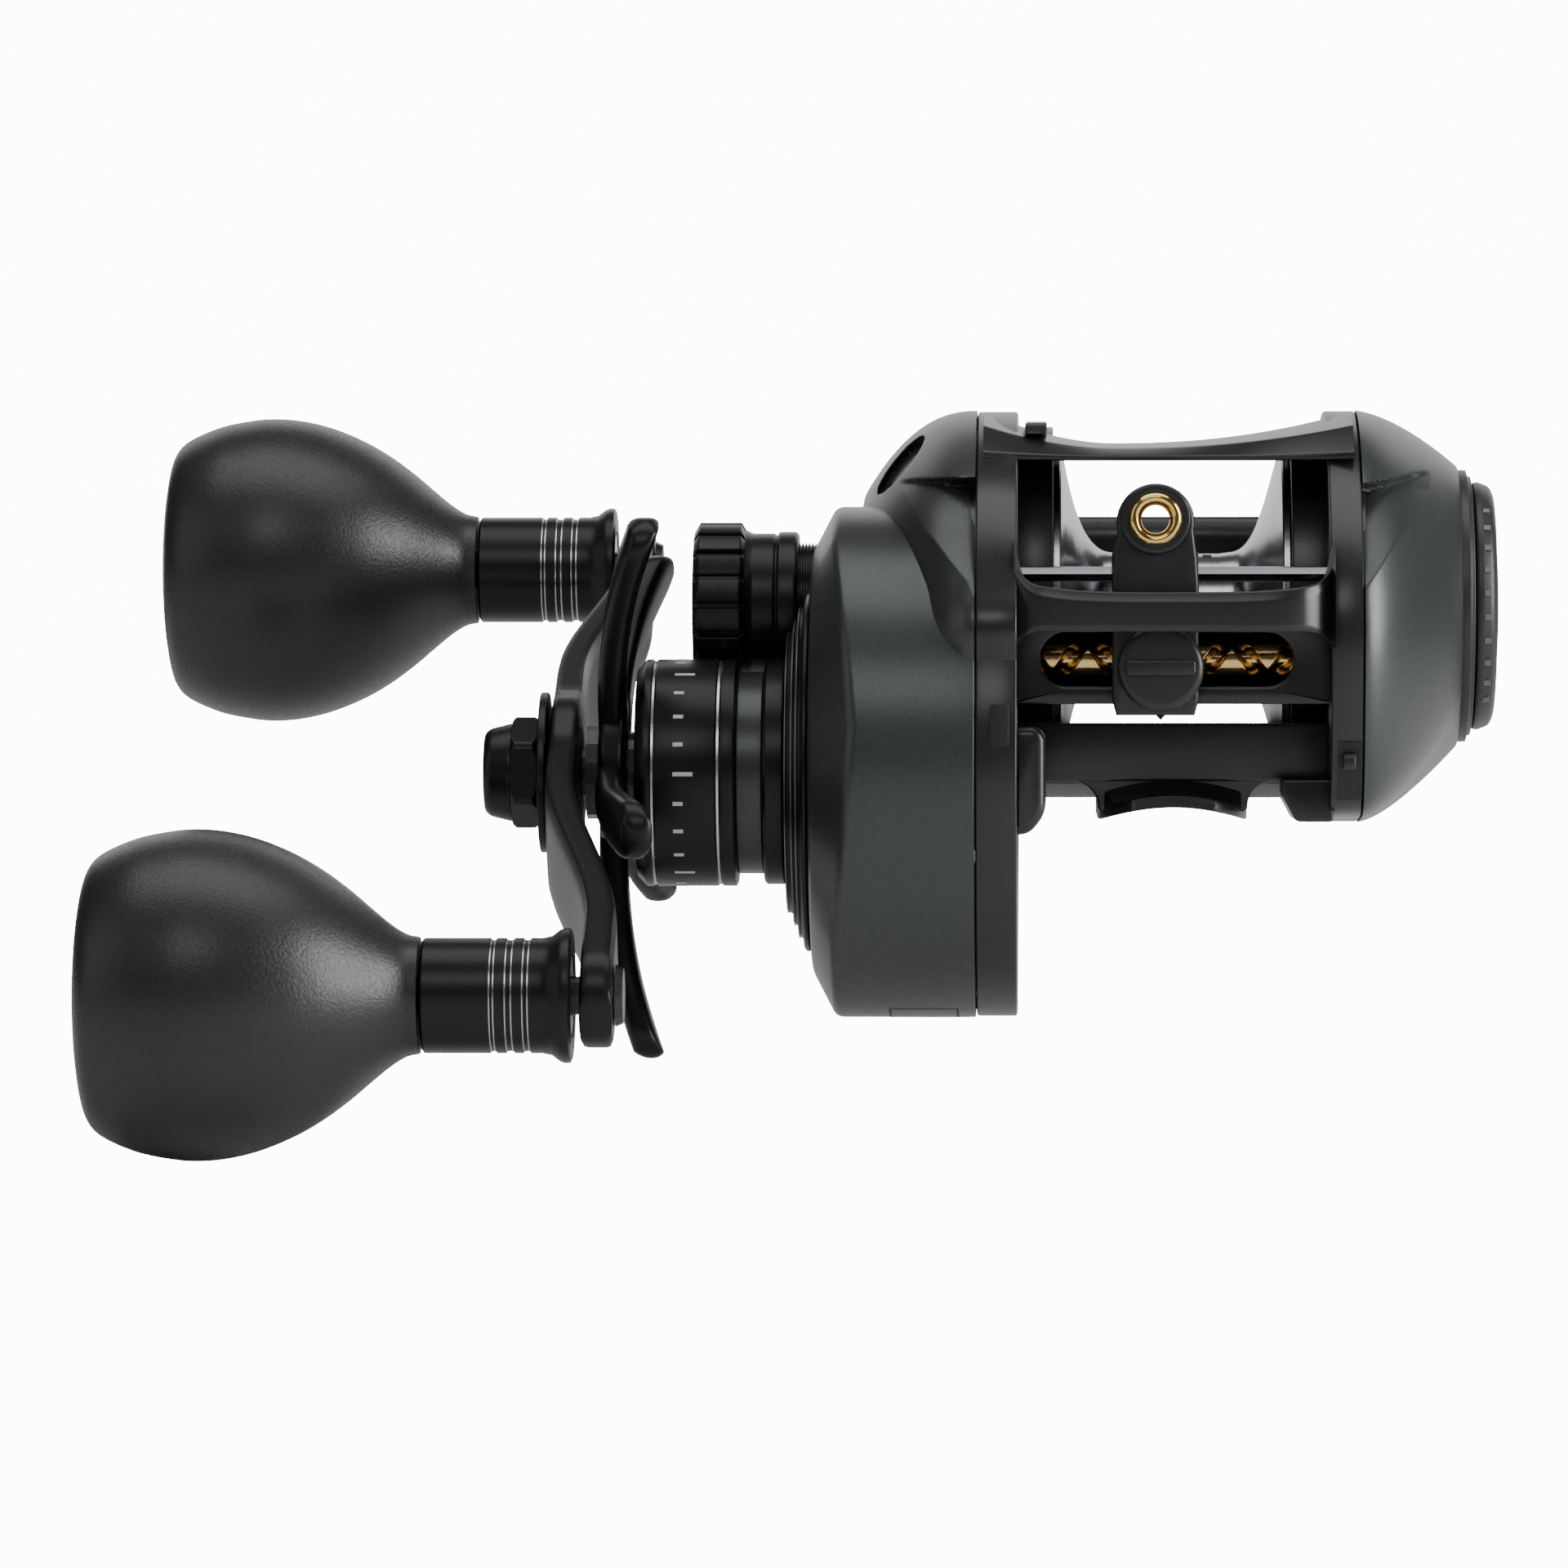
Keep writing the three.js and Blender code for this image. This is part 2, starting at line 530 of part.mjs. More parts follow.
/** Flat bar, cranked towards the reel at both ends. */
function makeHandleArm() {
  const crank = (s) => 6.3 * THREE.MathUtils.smoothstep(Math.abs(s), 14, 46);
  const stations = [-62, -48, -42, -36, -30, -24, -18, -12, 12, 18, 24, 30, 36, 42, 48, 62];
  const outer = stations.map((s) => [s, -74.8 + crank(s)]);
  const inner = stations.map((s) => [s, -71 + crank(s)]).reverse();
  const outline = join(
    slab(twoDiscs({ ...HANDLE_AXIS, r: 9.2 }, { ...knobAxis(1), r: 6 }), -80, -60),
    slab(twoDiscs({ ...HANDLE_AXIS, r: 9.2 }, { ...knobAxis(-1), r: 6 }), -80, -60));
  return cut(
    common(alongHandle([...outer, ...inner], 14), outline),
    rod(-80, -60, SHAFT_BORE, HANDLE_AXIS, 20),
    rod(-80, -60, 2.5, knobAxis(1), 16),
    rod(-80, -60, 2.5, knobAxis(-1), 16));
}

function makeHandleNut() {
  const hexagon = [];
  for (let i = 0; i < 6; i += 1) {
    const corner = at(HANDLE_AXIS, 6.9, 60 * i);
    hexagon.push([corner.y, corner.z]);
  }
  return cut(
    join(slab(polygon(hexagon), -79.5, -76.4), turned([[-82.9, 4.8], [-82.4, 5.4], [-79.4, 6]], HANDLE_AXIS)),
    rod(-81.6, -76, SHAFT_BORE, HANDLE_AXIS, 16));
}

function makeKnobShaft(axis) {
  return turned([[-98, 2.2], [-64.5, 2.2], [-64.5, 3.6], [-63.6, 3.2]], axis, 16);
}

function makeKnobGrip(axis) {
  const outer = [
    [-126.6, 9.5], [-125.6, 14.8], [-120.5, 18.3], [-113.5, 19.2], [-105.5, 18.2], [-98.6, 15.4], [-90.5, 9],
    [-87.1, 6.8],
  ];
  return cut(turned(outer, axis, 20), rod(-99, -86, 2.6, axis, 12));
}

function makeKnobCollar(axis) {
  return ring([
    [-86.8, 6.65], [-72.2, 6.65], [-70.6, 7.8], [-69.5, 7.8],
    [-69.5, 4.9], [-72.9, 4.9], [-72.9, 2.6], [-86.8, 2.6],
  ], axis, 18);
}

/** Star wheel: a hub with five bowed arms that end in flat paddles. */
function makeStar() {
  const bow = (s) => 4.6 * (Math.max(0, s - 10) / (STAR_RADIUS - 10)) ** 2;
  const stations = [4, 10, 16, 22, 28, STAR_RADIUS];
  const arms = [];
  for (let k = 0; k < STAR_ARMS; k += 1) {
    const side = [
      ...stations.map((s) => [s, -68.7 + bow(s)]),
      ...stations.map((s) => [s, -65.7 + bow(s)]).reverse(),
    ];
    const strip = new THREE.ExtrudeGeometry(polygon(side), { depth: 7.4, bevelEnabled: false });
    strip.translate(0, 0, -3.7);
    const plan = polygon([
      [3, -4], [9, -3], [20, -2.6], [28, -3.6], [33, -3.4], [STAR_RADIUS, -1.6],
      [STAR_RADIUS, 1.6], [33, 3.4], [28, 3.6], [20, 2.6], [9, 3], [3, 4],
    ]);
    const blank = new THREE.ExtrudeGeometry(plan, { depth: 12, bevelEnabled: false });
    blank.applyMatrix4(new THREE.Matrix4().makeBasis(
      new THREE.Vector3(1, 0, 0), new THREE.Vector3(0, 0, 1), new THREE.Vector3(0, -1, 0)));
    blank.translate(0, -58, 0);
    const arm = common(strip, blank);
    const angle = THREE.MathUtils.degToRad(-96.5 + (360 / STAR_ARMS) * k);
    arm.applyMatrix4(new THREE.Matrix4().makeBasis(
      new THREE.Vector3(0, Math.cos(angle), Math.sin(angle)),
      new THREE.Vector3(1, 0, 0),
      new THREE.Vector3(0, Math.sin(angle), -Math.cos(angle))));
    arms.push(arm.translate(0, HANDLE_AXIS.y, HANDLE_AXIS.z));
  }
  return cut(join(rod(-68.7, -65.7, 9, HANDLE_AXIS), ...arms), rod(-70, -64, SHAFT_BORE, HANDLE_AXIS, 20));
}

function makeThumbBar() {
  const outline = polygon([[20.6, 27], [20.6, 33.6], [21.8, 35.4], [24.2, 35.4], [26.4, 32], [26, 27]]);
  return slab(outline, GEAR_PLATE.right + 0.6, PALM_RING.left - 0.6);
}

function makeLatch() {
  const outline = [[-33.4, 3.8], [-34.6, 4.4], [-34.6, 6.2], [-33.4, 6.8], [-31.4, 6.8], [-31.4, 3.8]];
  return slab(polygon(outline), 19.4, 22);
}

add("frame", makeFrame(), ...BLACK_PAINT);
add("reel_foot", makeFoot(), ...BLACK_PAINT);
add("foot_screw_front", makeFootScrew(-9), ...STEEL);
add("foot_screw_rear", makeFootScrew(9), ...STEEL);
add("gear_cover", makeGearCover(), ...GREEN_PAINT);
add("oil_port_cover", makeOilPortCover(), ...GREEN_PAINT);
COVER_SCREWS.forEach((screw, i) => add(`cover_screw_${i + 1}`, makeCoverScrew(screw), ...STEEL));
add("cover_ring", makeCoverRing(), ...BLACK_ANODISED);
add("clutch_housing", makeClutchHousing(), ...BLACK_ANODISED);
add("anti_reverse_bearing", tube(-59.5, -50, 9.3, 5.2, HANDLE_AXIS), ...STEEL);
add("drive_shaft_bearing", tube(-22.9, -19.2, 4, 2.3, HANDLE_AXIS, 20), ...STEEL);
add("spool_bearing_gear", tube(-22.9, -20, 5, SPOOL_SHAFT_BORE, SPOOL_AXIS, 20), ...STEEL);
add("guide_rail", rod(-20.7, 20.7, 0.9, RAIL_AXIS, 12), ...STEEL);
add("worm_bush_gear", tube(-23, -18.6, 2.95, WORM_BORE, WORM_AXIS, 16), ...BRASS);
add("worm_bush_palm", tube(17.6, 21.3, 2.95, WORM_BORE, WORM_AXIS, 16), ...BRASS);
YOKE_PINS.forEach((pin, i) => {
  const place = ["upper", "lower"][i];
  add(`yoke_pin_${place}`, makeYokePin(pin), ...STEEL);
  add(`yoke_spring_${place}`, makeSpring(pin, -30.6, -26.2, 3, 1.9, 0.25), ...STEEL);
});
add("drive_shaft", makeDriveShaft(), ...STEEL);
add("clutch_sleeve", tube(-65.4, -38.7, 4.9, SHAFT_BORE, HANDLE_AXIS, 20), ...STEEL);
add("pressure_plate", tube(-38.4, -37.2, 12.5, SHAFT_BORE, HANDLE_AXIS), ...STEEL);
add("drag_washer_outer", tube(-36.9, -34.9, 12, SHAFT_BORE, HANDLE_AXIS), ...CARBON);
add("main_gear", makeMainGear(), ...BRASS);
add("drag_washer_inner", tube(-27.7, -26.7, 12, SHAFT_BORE, HANDLE_AXIS), ...CARBON);
add("idle_gear", makeIdleGear(), ...STEEL);
add("pinion_gear", makePinion(), ...BRASS);
add("clutch_yoke", makeYoke(), ...STEEL);
add("worm_shaft", makeWorm(), ...BRASS);
add("worm_gear", makeWormGear(), ...STEEL);
add("line_guide", makeLineGuide(), ...BLACK_PAINT);
add("guide_eyelet", makeEyelet(), ...BRASS);
add("pawl", rodAlongY(-38.2, -32.6, 2, GUIDE_X + 0.6, 16.6, 12), ...STEEL);
add("pawl_cap", makePawlCap(), ...BLACK_ANODISED);
add("spool", makeSpool(), ...SMOKE_ALUMINIUM);
add("spool_shaft", rod(-54.8, 27.5, 1.5, SPOOL_AXIS, 16), ...STEEL);
add("brake_rotor", makeBrakeRotor(), ...SMOKE_ALUMINIUM);
add("palm_cover", makePalmCover(), ...GREEN_PAINT);
add("dial_ring", tube(35.4, 36.4, 16.5, 4.6, SPOOL_AXIS, 28), ...BLACK_PAINT);
add("bearing_holder", makeBearingHolder(), ...BLACK_PAINT);
add("spool_bearing_palm", tube(21.2, 24.2, 5, SPOOL_SHAFT_BORE, SPOOL_AXIS, 20), ...STEEL);
add("magnet_holder", makeMagnetHolder(), ...SOFT_TOUCH);
add("brake_dial", makeBrakeDial(), ...BLACK_PAINT);
add("cast_control_knob", makeCastKnob(), ...BLACK_ANODISED);
add("handle_arm", makeHandleArm(), ...BLACK_ANODISED);
add("handle_nut", makeHandleNut(), ...BLACK_ANODISED);
add("nut_retainer", tube(-76.1, -75.1, 9.7, SHAFT_BORE, HANDLE_AXIS), ...BLACK_ANODISED);
add("star_wheel", makeStar(), ...BLACK_ANODISED);
for (const [place, end] of [["front", -1], ["rear", 1]]) {
  const axis = knobAxis(end);
  add(`knob_shaft_${place}`, makeKnobShaft(axis), ...STEEL);
  add(`knob_bearing_${place}`, tube(-72.6, -69.6, 4.6, 2.5, axis, 16), ...STEEL);
  add(`knob_collar_${place}`, makeKnobCollar(axis), ...BLACK_ANODISED);
  add(`knob_grip_${place}`, makeKnobGrip(axis), ...SOFT_TOUCH);
}
add("thumb_bar", makeThumbBar(), ...BLACK_PAINT);
add("release_latch", makeLatch(), ...BLACK_PAINT);

export default reel;
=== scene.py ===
"""A low-profile baitcasting reel on a pale floor. Lengths are in millimetres until a mesh is made."""
import json
import math

import bmesh
import bpy
import numpy as np
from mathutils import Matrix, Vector


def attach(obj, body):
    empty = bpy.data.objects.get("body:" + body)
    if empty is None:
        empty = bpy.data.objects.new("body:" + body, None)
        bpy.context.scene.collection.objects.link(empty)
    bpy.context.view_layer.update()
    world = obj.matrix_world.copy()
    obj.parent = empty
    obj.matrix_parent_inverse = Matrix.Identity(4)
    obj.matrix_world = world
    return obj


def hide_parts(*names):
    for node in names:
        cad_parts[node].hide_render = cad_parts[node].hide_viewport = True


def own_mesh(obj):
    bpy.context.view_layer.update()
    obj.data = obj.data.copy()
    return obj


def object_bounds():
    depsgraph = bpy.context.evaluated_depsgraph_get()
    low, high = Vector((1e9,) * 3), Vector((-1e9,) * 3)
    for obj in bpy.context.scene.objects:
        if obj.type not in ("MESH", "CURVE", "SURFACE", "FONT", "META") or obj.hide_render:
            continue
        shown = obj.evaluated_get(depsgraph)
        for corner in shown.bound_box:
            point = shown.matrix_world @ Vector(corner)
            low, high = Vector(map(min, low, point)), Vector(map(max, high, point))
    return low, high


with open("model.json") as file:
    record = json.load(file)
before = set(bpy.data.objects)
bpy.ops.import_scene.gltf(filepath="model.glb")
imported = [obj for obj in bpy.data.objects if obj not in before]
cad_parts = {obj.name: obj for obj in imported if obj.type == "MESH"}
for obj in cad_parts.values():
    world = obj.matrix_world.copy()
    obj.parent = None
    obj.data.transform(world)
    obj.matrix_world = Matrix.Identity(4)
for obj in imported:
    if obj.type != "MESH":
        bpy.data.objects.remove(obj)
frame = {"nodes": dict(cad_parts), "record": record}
cad_low, cad_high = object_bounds()


# ---------------------------------------------------------------- camera, floor and light
# A long lens looks at the front of the reel from the line guide's side, a little above the foot.
CAMERA_PLACE = Vector((-0.0142, -1.0, 0.0183))
CAMERA_TARGET = Vector((-0.0472, 0.0, 0.0023))

camera_data = bpy.data.cameras.new("studio_camera")
camera_data.lens = 187.5
camera_data.sensor_width = 36
camera = bpy.data.objects.new("studio_camera", camera_data)
camera.location = CAMERA_PLACE
camera.rotation_euler = (CAMERA_TARGET - CAMERA_PLACE).to_track_quat("-Z", "Y").to_euler()
bpy.context.scene.collection.objects.link(camera)
bpy.context.scene.camera = camera

FLOOR_DROP = 0.0008  # below the lowest point of the reel
FLOOR_GLOW = 14.0
FLOOR_GLOW_SHARE = 0.95
BACKDROP_STRENGTH = 13.5
FILL_STRENGTH = 0.07


def plain_material(name):
    """A node material with nothing but its output node."""
    material = bpy.data.materials.new(name)
    material.use_nodes = True
    material.node_tree.nodes.clear()
    output = material.node_tree.nodes.new("ShaderNodeOutputMaterial")
    return material, material.node_tree, output


def make_floor():
    """A wide level sheet of pale board that looks as bright as the studio behind it."""
    half = 6.0
    height = cad_low[2] - FLOOR_DROP
    corners = [(-half, -half, height), (half, -half, height), (half, half, height), (-half, half, height)]
    mesh = bpy.data.meshes.new("studio_floor")
    mesh.from_pydata(corners, [], [(0, 1, 2, 3)])
    floor = bpy.data.objects.new("studio_floor", mesh)
    bpy.context.scene.collection.objects.link(floor)
    material, tree, output = plain_material("pale_board")
    matt = tree.nodes.new("ShaderNodeBsdfDiffuse")
    matt.inputs["Color"].default_value = (0.9, 0.9, 0.9, 1)
    glow = tree.nodes.new("ShaderNodeEmission")
    glow.inputs["Strength"].default_value = FLOOR_GLOW
    path = tree.nodes.new("ShaderNodeLightPath")
    share = tree.nodes.new("ShaderNodeMath")
    share.operation = "MULTIPLY"
    share.inputs[1].default_value = FLOOR_GLOW_SHARE
    mix = tree.nodes.new("ShaderNodeMixShader")
    tree.links.new(path.outputs["Is Camera Ray"], share.inputs[0])
    tree.links.new(share.outputs[0], mix.inputs[0])
    tree.links.new(matt.outputs[0], mix.inputs[1])
    tree.links.new(glow.outputs[0], mix.inputs[2])
    tree.links.new(mix.outputs[0], output.inputs["Surface"])
    floor.data.materials.append(material)


def make_world():
    """A white studio for the camera, and a softer grey one for what the reel reflects."""
    world = bpy.data.worlds.new("studio")
    bpy.context.scene.world = world
    world.use_nodes = True
    tree = world.node_tree
    tree.nodes.clear()
    output = tree.nodes.new("ShaderNodeOutputWorld")
    seen = tree.nodes.new("ShaderNodeBackground")
    seen.inputs["Color"].default_value = (1, 1, 1, 1)
    seen.inputs["Strength"].default_value = BACKDROP_STRENGTH
    fill = tree.nodes.new("ShaderNodeBackground")
    fill.inputs["Color"].default_value = (1, 1, 1, 1)
    fill.inputs["Strength"].default_value = FILL_STRENGTH
    path = tree.nodes.new("ShaderNodeLightPath")
    mix = tree.nodes.new("ShaderNodeMixShader")
    tree.links.new(path.outputs["Is Camera Ray"], mix.inputs[0])
    tree.links.new(fill.outputs[0], mix.inputs[1])
    tree.links.new(seen.outputs[0], mix.inputs[2])
    tree.links.new(mix.outputs[0], output.inputs["Surface"])


def add_softbox(name, place, target, width, height, power):
    """A square-cornered soft light at place, aimed at target, all in metres."""
    light = bpy.data.lights.new(name, "AREA")
    light.shape = "RECTANGLE"
    light.size = width
    light.size_y = height
    light.energy = power
    lamp = bpy.data.objects.new(name, light)
    lamp.location = place
    lamp.rotation_euler = (Vector(target) - Vector(place)).to_track_quat("-Z", "Y").to_euler()
    bpy.context.scene.collection.objects.link(lamp)


make_floor()
make_world()
MIDDLE = (-0.045, 0.0, 0.01)
add_softbox("top_softbox", (-0.05, -0.05, 0.75), MIDDLE, 0.9, 0.5, 3.2)
add_softbox("left_softbox", (-0.75, -0.35, 0.30), MIDDLE, 0.5, 0.6, 0.7)
add_softbox("right_softbox", (0.75, -0.25, 0.25), MIDDLE, 0.4, 0.6, 9.0)
add_softbox("front_softbox", (-0.15, -1.1, 0.75), MIDDLE, 0.6, 0.4, 2.3)
add_softbox("back_softbox", (0.0, 0.9, 0.35), MIDDLE, 1.2, 0.7, 3.5)


# ---------------------------------------------------------------- knob grips
# Two egg-shaped power grips, moulded round a plastic core and dipped in soft-touch rubber.
SPOOL_AXIS = (0.0, 24.1)
HANDLE_AXIS = (-14.0, 3.9)
HANDLE_TILT = math.radians(27.5)
HANDLE_REACH = 54.1


def grid_faces(rows, columns, wrap_rows=False, wrap_columns=True):
    """Four-sided faces between neighbouring points of a grid that is stored row by row."""
    row = np.arange(rows if wrap_rows else rows - 1)
    column = np.arange(columns if wrap_columns else columns - 1)
    here, across = np.meshgrid(row, column, indexing="ij")
    below = (here + 1) % rows
    beside = (across + 1) % columns
    quads = [here * columns + across, here * columns + beside,
             below * columns + beside, below * columns + across]
    return np.stack(quads, axis=-1).reshape(-1, 4)


def make_piece(name, parts, material, body, nodes=(), crease=32):
    """A closed mesh of one or more (points, faces) parts in millimetres, doubles merged."""
    points = []
    faces = []
    start = 0
    for part_points, part_faces in parts:
        flat = np.asarray(part_points, dtype=float).reshape(-1, 3)
        points.append(flat)
        faces.extend((np.asarray(face) + start).tolist() for face in part_faces)
        start += len(flat)
    mesh = bpy.data.meshes.new(name)
    mesh.from_pydata((np.concatenate(points) * 0.001).tolist(), [], faces)
    build = bmesh.new()
    build.from_mesh(mesh)
    bmesh.ops.remove_doubles(build, verts=build.verts, dist=2e-6)
    bmesh.ops.recalc_face_normals(build, faces=build.faces)
    build.to_mesh(mesh)
    build.free()
    mesh.shade_smooth()
    mesh.set_sharp_from_angle(angle=math.radians(crease))
    mesh.materials.append(material)
    piece = bpy.data.objects.new(name, mesh)
    bpy.context.scene.collection.objects.link(piece)
    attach(piece, body)
    if nodes:
        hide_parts(*nodes)
    return piece


def soften(profile, radius, steps=4):
    """The same open outline with each inner corner replaced by an arc of up to the given radius."""
    points = [np.asarray(p, dtype=float) for p in profile]
    result = [points[0]]
    for before, corner, after in zip(points[:-2], points[1:-1], points[2:]):
        to_before = before - corner
        to_after = after - corner
        reach = min(radius, 0.45 * np.linalg.norm(to_before), 0.45 * np.linalg.norm(to_after))
        start = corner + to_before / (np.linalg.norm(to_before) + 1e-9) * reach
        end = corner + to_after / (np.linalg.norm(to_after) + 1e-9) * reach
        for t in np.linspace(0, 1, steps + 1):
            result.append((1 - t) ** 2 * start + 2 * t * (1 - t) * corner + t ** 2 * end)
    result.append(points[-1])
    return np.array(result)


def turned(profile, axis, segments=96, closed=False, radius_at=None):
    """A profile of [x, radius] points carried round an axis along X that passes through axis = (y, z)."""
    profile = np.asarray(profile, dtype=float)
    angle = np.linspace(0, 2 * math.pi, segments, endpoint=False)
    radius = np.repeat(profile[:, 1:2], segments, axis=1)
    if radius_at is not None:
        radius = radius_at(np.repeat(profile[:, :1], segments, axis=1), radius, angle[None, :])
    x = np.repeat(profile[:, :1], segments, axis=1)
    points = np.stack([x, axis[0] + radius * np.cos(angle), axis[1] + radius * np.sin(angle)], axis=-1)
    return points, grid_faces(len(profile), segments, wrap_rows=closed)


def closed_ring(outer, inner):
    """One closed profile from an outer line of [x, radius] points and an inner line back."""
    return np.concatenate([outer, np.asarray(inner, dtype=float)])


def cubic_between(p0, p1, p2, p3, t):
    """The cubic from p1 to p2 whose slope at each is half the step between that point's two neighbours."""
    return 0.5 * (2 * p1 + (p2 - p0) * t + (2 * p0 - 5 * p1 + 4 * p2 - p3) * t ** 2
                  + (3 * p1 - p0 - 3 * p2 + p3) * t ** 3)


def smooth_through(points, count=60):
    """A smooth open curve through the points, evenly timed between them."""
    points = np.asarray(points, dtype=float)
    padded = np.concatenate([[2 * points[0] - points[1]], points, [2 * points[-1] - points[-2]]])
    position = np.linspace(0, len(points) - 1, count)
    index = np.minimum(position.astype(int), len(points) - 2)
    t = (position - index)[:, None]
    return cubic_between(padded[index], padded[index + 1], padded[index + 2], padded[index + 3], t)


def make_grain_group():
    """A surface effect: cloudy colour change, uneven gloss and fine grain, each with its own size."""
    group = bpy.data.node_groups.new("surface_grain", "ShaderNodeTree")
    sockets = [("Color", "NodeSocketColor"), ("Second Color", "NodeSocketColor"),
               ("Cloud Size", "NodeSocketFloat"),
               ("Roughness", "NodeSocketFloat"), ("Roughness Change", "NodeSocketFloat"),
               ("Grain Size", "NodeSocketFloat"), ("Grain Amount", "NodeSocketFloat")]
    for socket_name, kind in sockets:
        group.interface.new_socket(socket_name, in_out="INPUT", socket_type=kind)
    for socket_name, kind in [("Color", "NodeSocketColor"), ("Roughness", "NodeSocketFloat"),
                              ("Height", "NodeSocketFloat")]:
        group.interface.new_socket(socket_name, in_out="OUTPUT", socket_type=kind)
    nodes = group.nodes
    links = group.links
    given = nodes.new("NodeGroupInput")
    result = nodes.new("NodeGroupOutput")
    place = nodes.new("ShaderNodeTexCoord")
    cloud = nodes.new("ShaderNodeTexNoise")
    cloud.inputs["Detail"].default_value = 4
    grain = nodes.new("ShaderNodeTexNoise")
    grain.inputs["Detail"].default_value = 3
    mix = nodes.new("ShaderNodeMix")
    mix.data_type = "RGBA"
    spread = nodes.new("ShaderNodeMapRange")
    spread.inputs["From Min"].default_value = 0.3
    spread.inputs["From Max"].default_value = 0.7
    middle = nodes.new("ShaderNodeMath")
    middle.operation = "SUBTRACT"
    middle.inputs[1].default_value = 0.5
    change = nodes.new("ShaderNodeMath")
    change.operation = "MULTIPLY_ADD"
    height = nodes.new("ShaderNodeMath")
    height.operation = "MULTIPLY"
    links.new(place.outputs["Object"], cloud.inputs["Vector"])
    links.new(place.outputs["Object"], grain.inputs["Vector"])
    links.new(given.outputs["Cloud Size"], cloud.inputs["Scale"])
    links.new(given.outputs["Grain Size"], grain.inputs["Scale"])
    links.new(cloud.outputs["Fac"], spread.inputs["Value"])
    links.new(spread.outputs["Result"], mix.inputs["Factor"])
    links.new(given.outputs["Color"], mix.inputs["A"])
    links.new(given.outputs["Second Color"], mix.inputs["B"])
    links.new(mix.outputs["Result"], result.inputs["Color"])
    links.new(grain.outputs["Fac"], middle.inputs[0])
    links.new(middle.outputs[0], change.inputs[0])
    links.new(given.outputs["Roughness Change"], change.inputs[1])
    links.new(given.outputs["Roughness"], change.inputs[2])
    links.new(change.outputs[0], result.inputs["Roughness"])
    links.new(grain.outputs["Fac"], height.inputs[0])
    links.new(given.outputs["Grain Amount"], height.inputs[1])
    links.new(height.outputs[0], result.inputs["Height"])
    return group


GRAIN = make_grain_group()


def grained_material(name, color, second, metallic, roughness, change, grain_size, grain_amount,
                     cloud_size=60.0, coat=0.0, coat_roughness=0.2):
    """A finish whose colour, gloss and bump come from the grain effect; grain_amount is in micrometres."""
    material, tree, output = plain_material(name)
    shader = tree.nodes.new("ShaderNodeBsdfPrincipled")
    grain = tree.nodes.new("ShaderNodeGroup")
    grain.node_tree = GRAIN
    grain.inputs["Color"].default_value = (*color, 1)
    grain.inputs["Second Color"].default_value = (*second, 1)
    grain.inputs["Cloud Size"].default_value = cloud_size
    grain.inputs["Roughness"].default_value = roughness
    grain.inputs["Roughness Change"].default_value = change
    grain.inputs["Grain Size"].default_value = grain_size
    grain.inputs["Grain Amount"].default_value = 1.0
    bump = tree.nodes.new("ShaderNodeBump")
    bump.inputs["Strength"].default_value = 1.0
    bump.inputs["Distance"].default_value = grain_amount * 1e-6
    shader.inputs["Metallic"].default_value = metallic
    shader.inputs["Coat Weight"].default_value = coat
    shader.inputs["Coat Roughness"].default_value = coat_roughness
    tree.links.new(grain.outputs["Color"], shader.inputs["Base Color"])
    tree.links.new(grain.outputs["Roughness"], shader.inputs["Roughness"])
    tree.links.new(grain.outputs["Height"], bump.inputs["Height"])
    tree.links.new(bump.outputs["Normal"], shader.inputs["Normal"])
    tree.links.new(shader.outputs[0], output.inputs["Surface"])
    return material


soft_touch = grained_material("soft_touch_rubber", (0.012, 0.013, 0.0135), (0.016, 0.017, 0.0175), 0.0, 0.37,
                              0.25, 2600.0, 40.0)


def knob_axis(end):
    """Where a knob's spindle crosses the Y-Z plane: end is -1 at the front and 1 at the rear."""
    return (HANDLE_AXIS[0] + end * HANDLE_REACH * math.cos(HANDLE_TILT),
            HANDLE_AXIS[1] + end * HANDLE_REACH * math.sin(HANDLE_TILT))


KNOBS = [("front", -1), ("rear", 1)]
GRIP_OUTLINE = [(-126.3, 9.0), (-125.9, 12.0), (-125.2, 14.7), (-123.6, 16.4), (-120.0, 18.0), (-116.5, 18.8),
                (-113.2, 19.15), (-109.5, 18.9), (-105.5, 17.95), (-101.5, 16.3), (-98.2, 14.4),
                (-95.2, 12.2), (-92.6, 10.0), (-90.4, 8.2), (-88.6, 7.1), (-87.1, 6.75)]

for place, end in KNOBS:
    line = np.concatenate([[(-126.6, 0.0), (-126.55, 5.0)], smooth_through(GRIP_OUTLINE, 110), [(-87.1, 2.8)],
                           [(-97.0, 2.8), (-97.0, 0.0)]])
    make_piece(f"soft_grip_{place}", [turned(line, knob_axis(end), 128)], soft_touch, f"knob_{place}",
               [f"knob_grip_{place}"], crease=50)


# ---------------------------------------------------------------- knob collars
# Turned aluminium collars between grip and arm, black anodised, with three grooves cut bright afterwards.
GROOVES = [(-78.9, -78.15), (-77.1, -76.1), (-75.1, -74.2)]

black_anodised = grained_material("black_anodised_aluminium", (0.012, 0.013, 0.014), (0.016, 0.0165, 0.018),
                                  0.75, 0.36, 0.1, 5200.0, 3.0, coat=0.12, coat_roughness=0.28)
bright_cut = grained_material("bright_cut_aluminium", (0.60, 0.61, 0.63), (0.50, 0.51, 0.53), 1.0, 0.28, 0.15,
                              1800.0, 3.0)

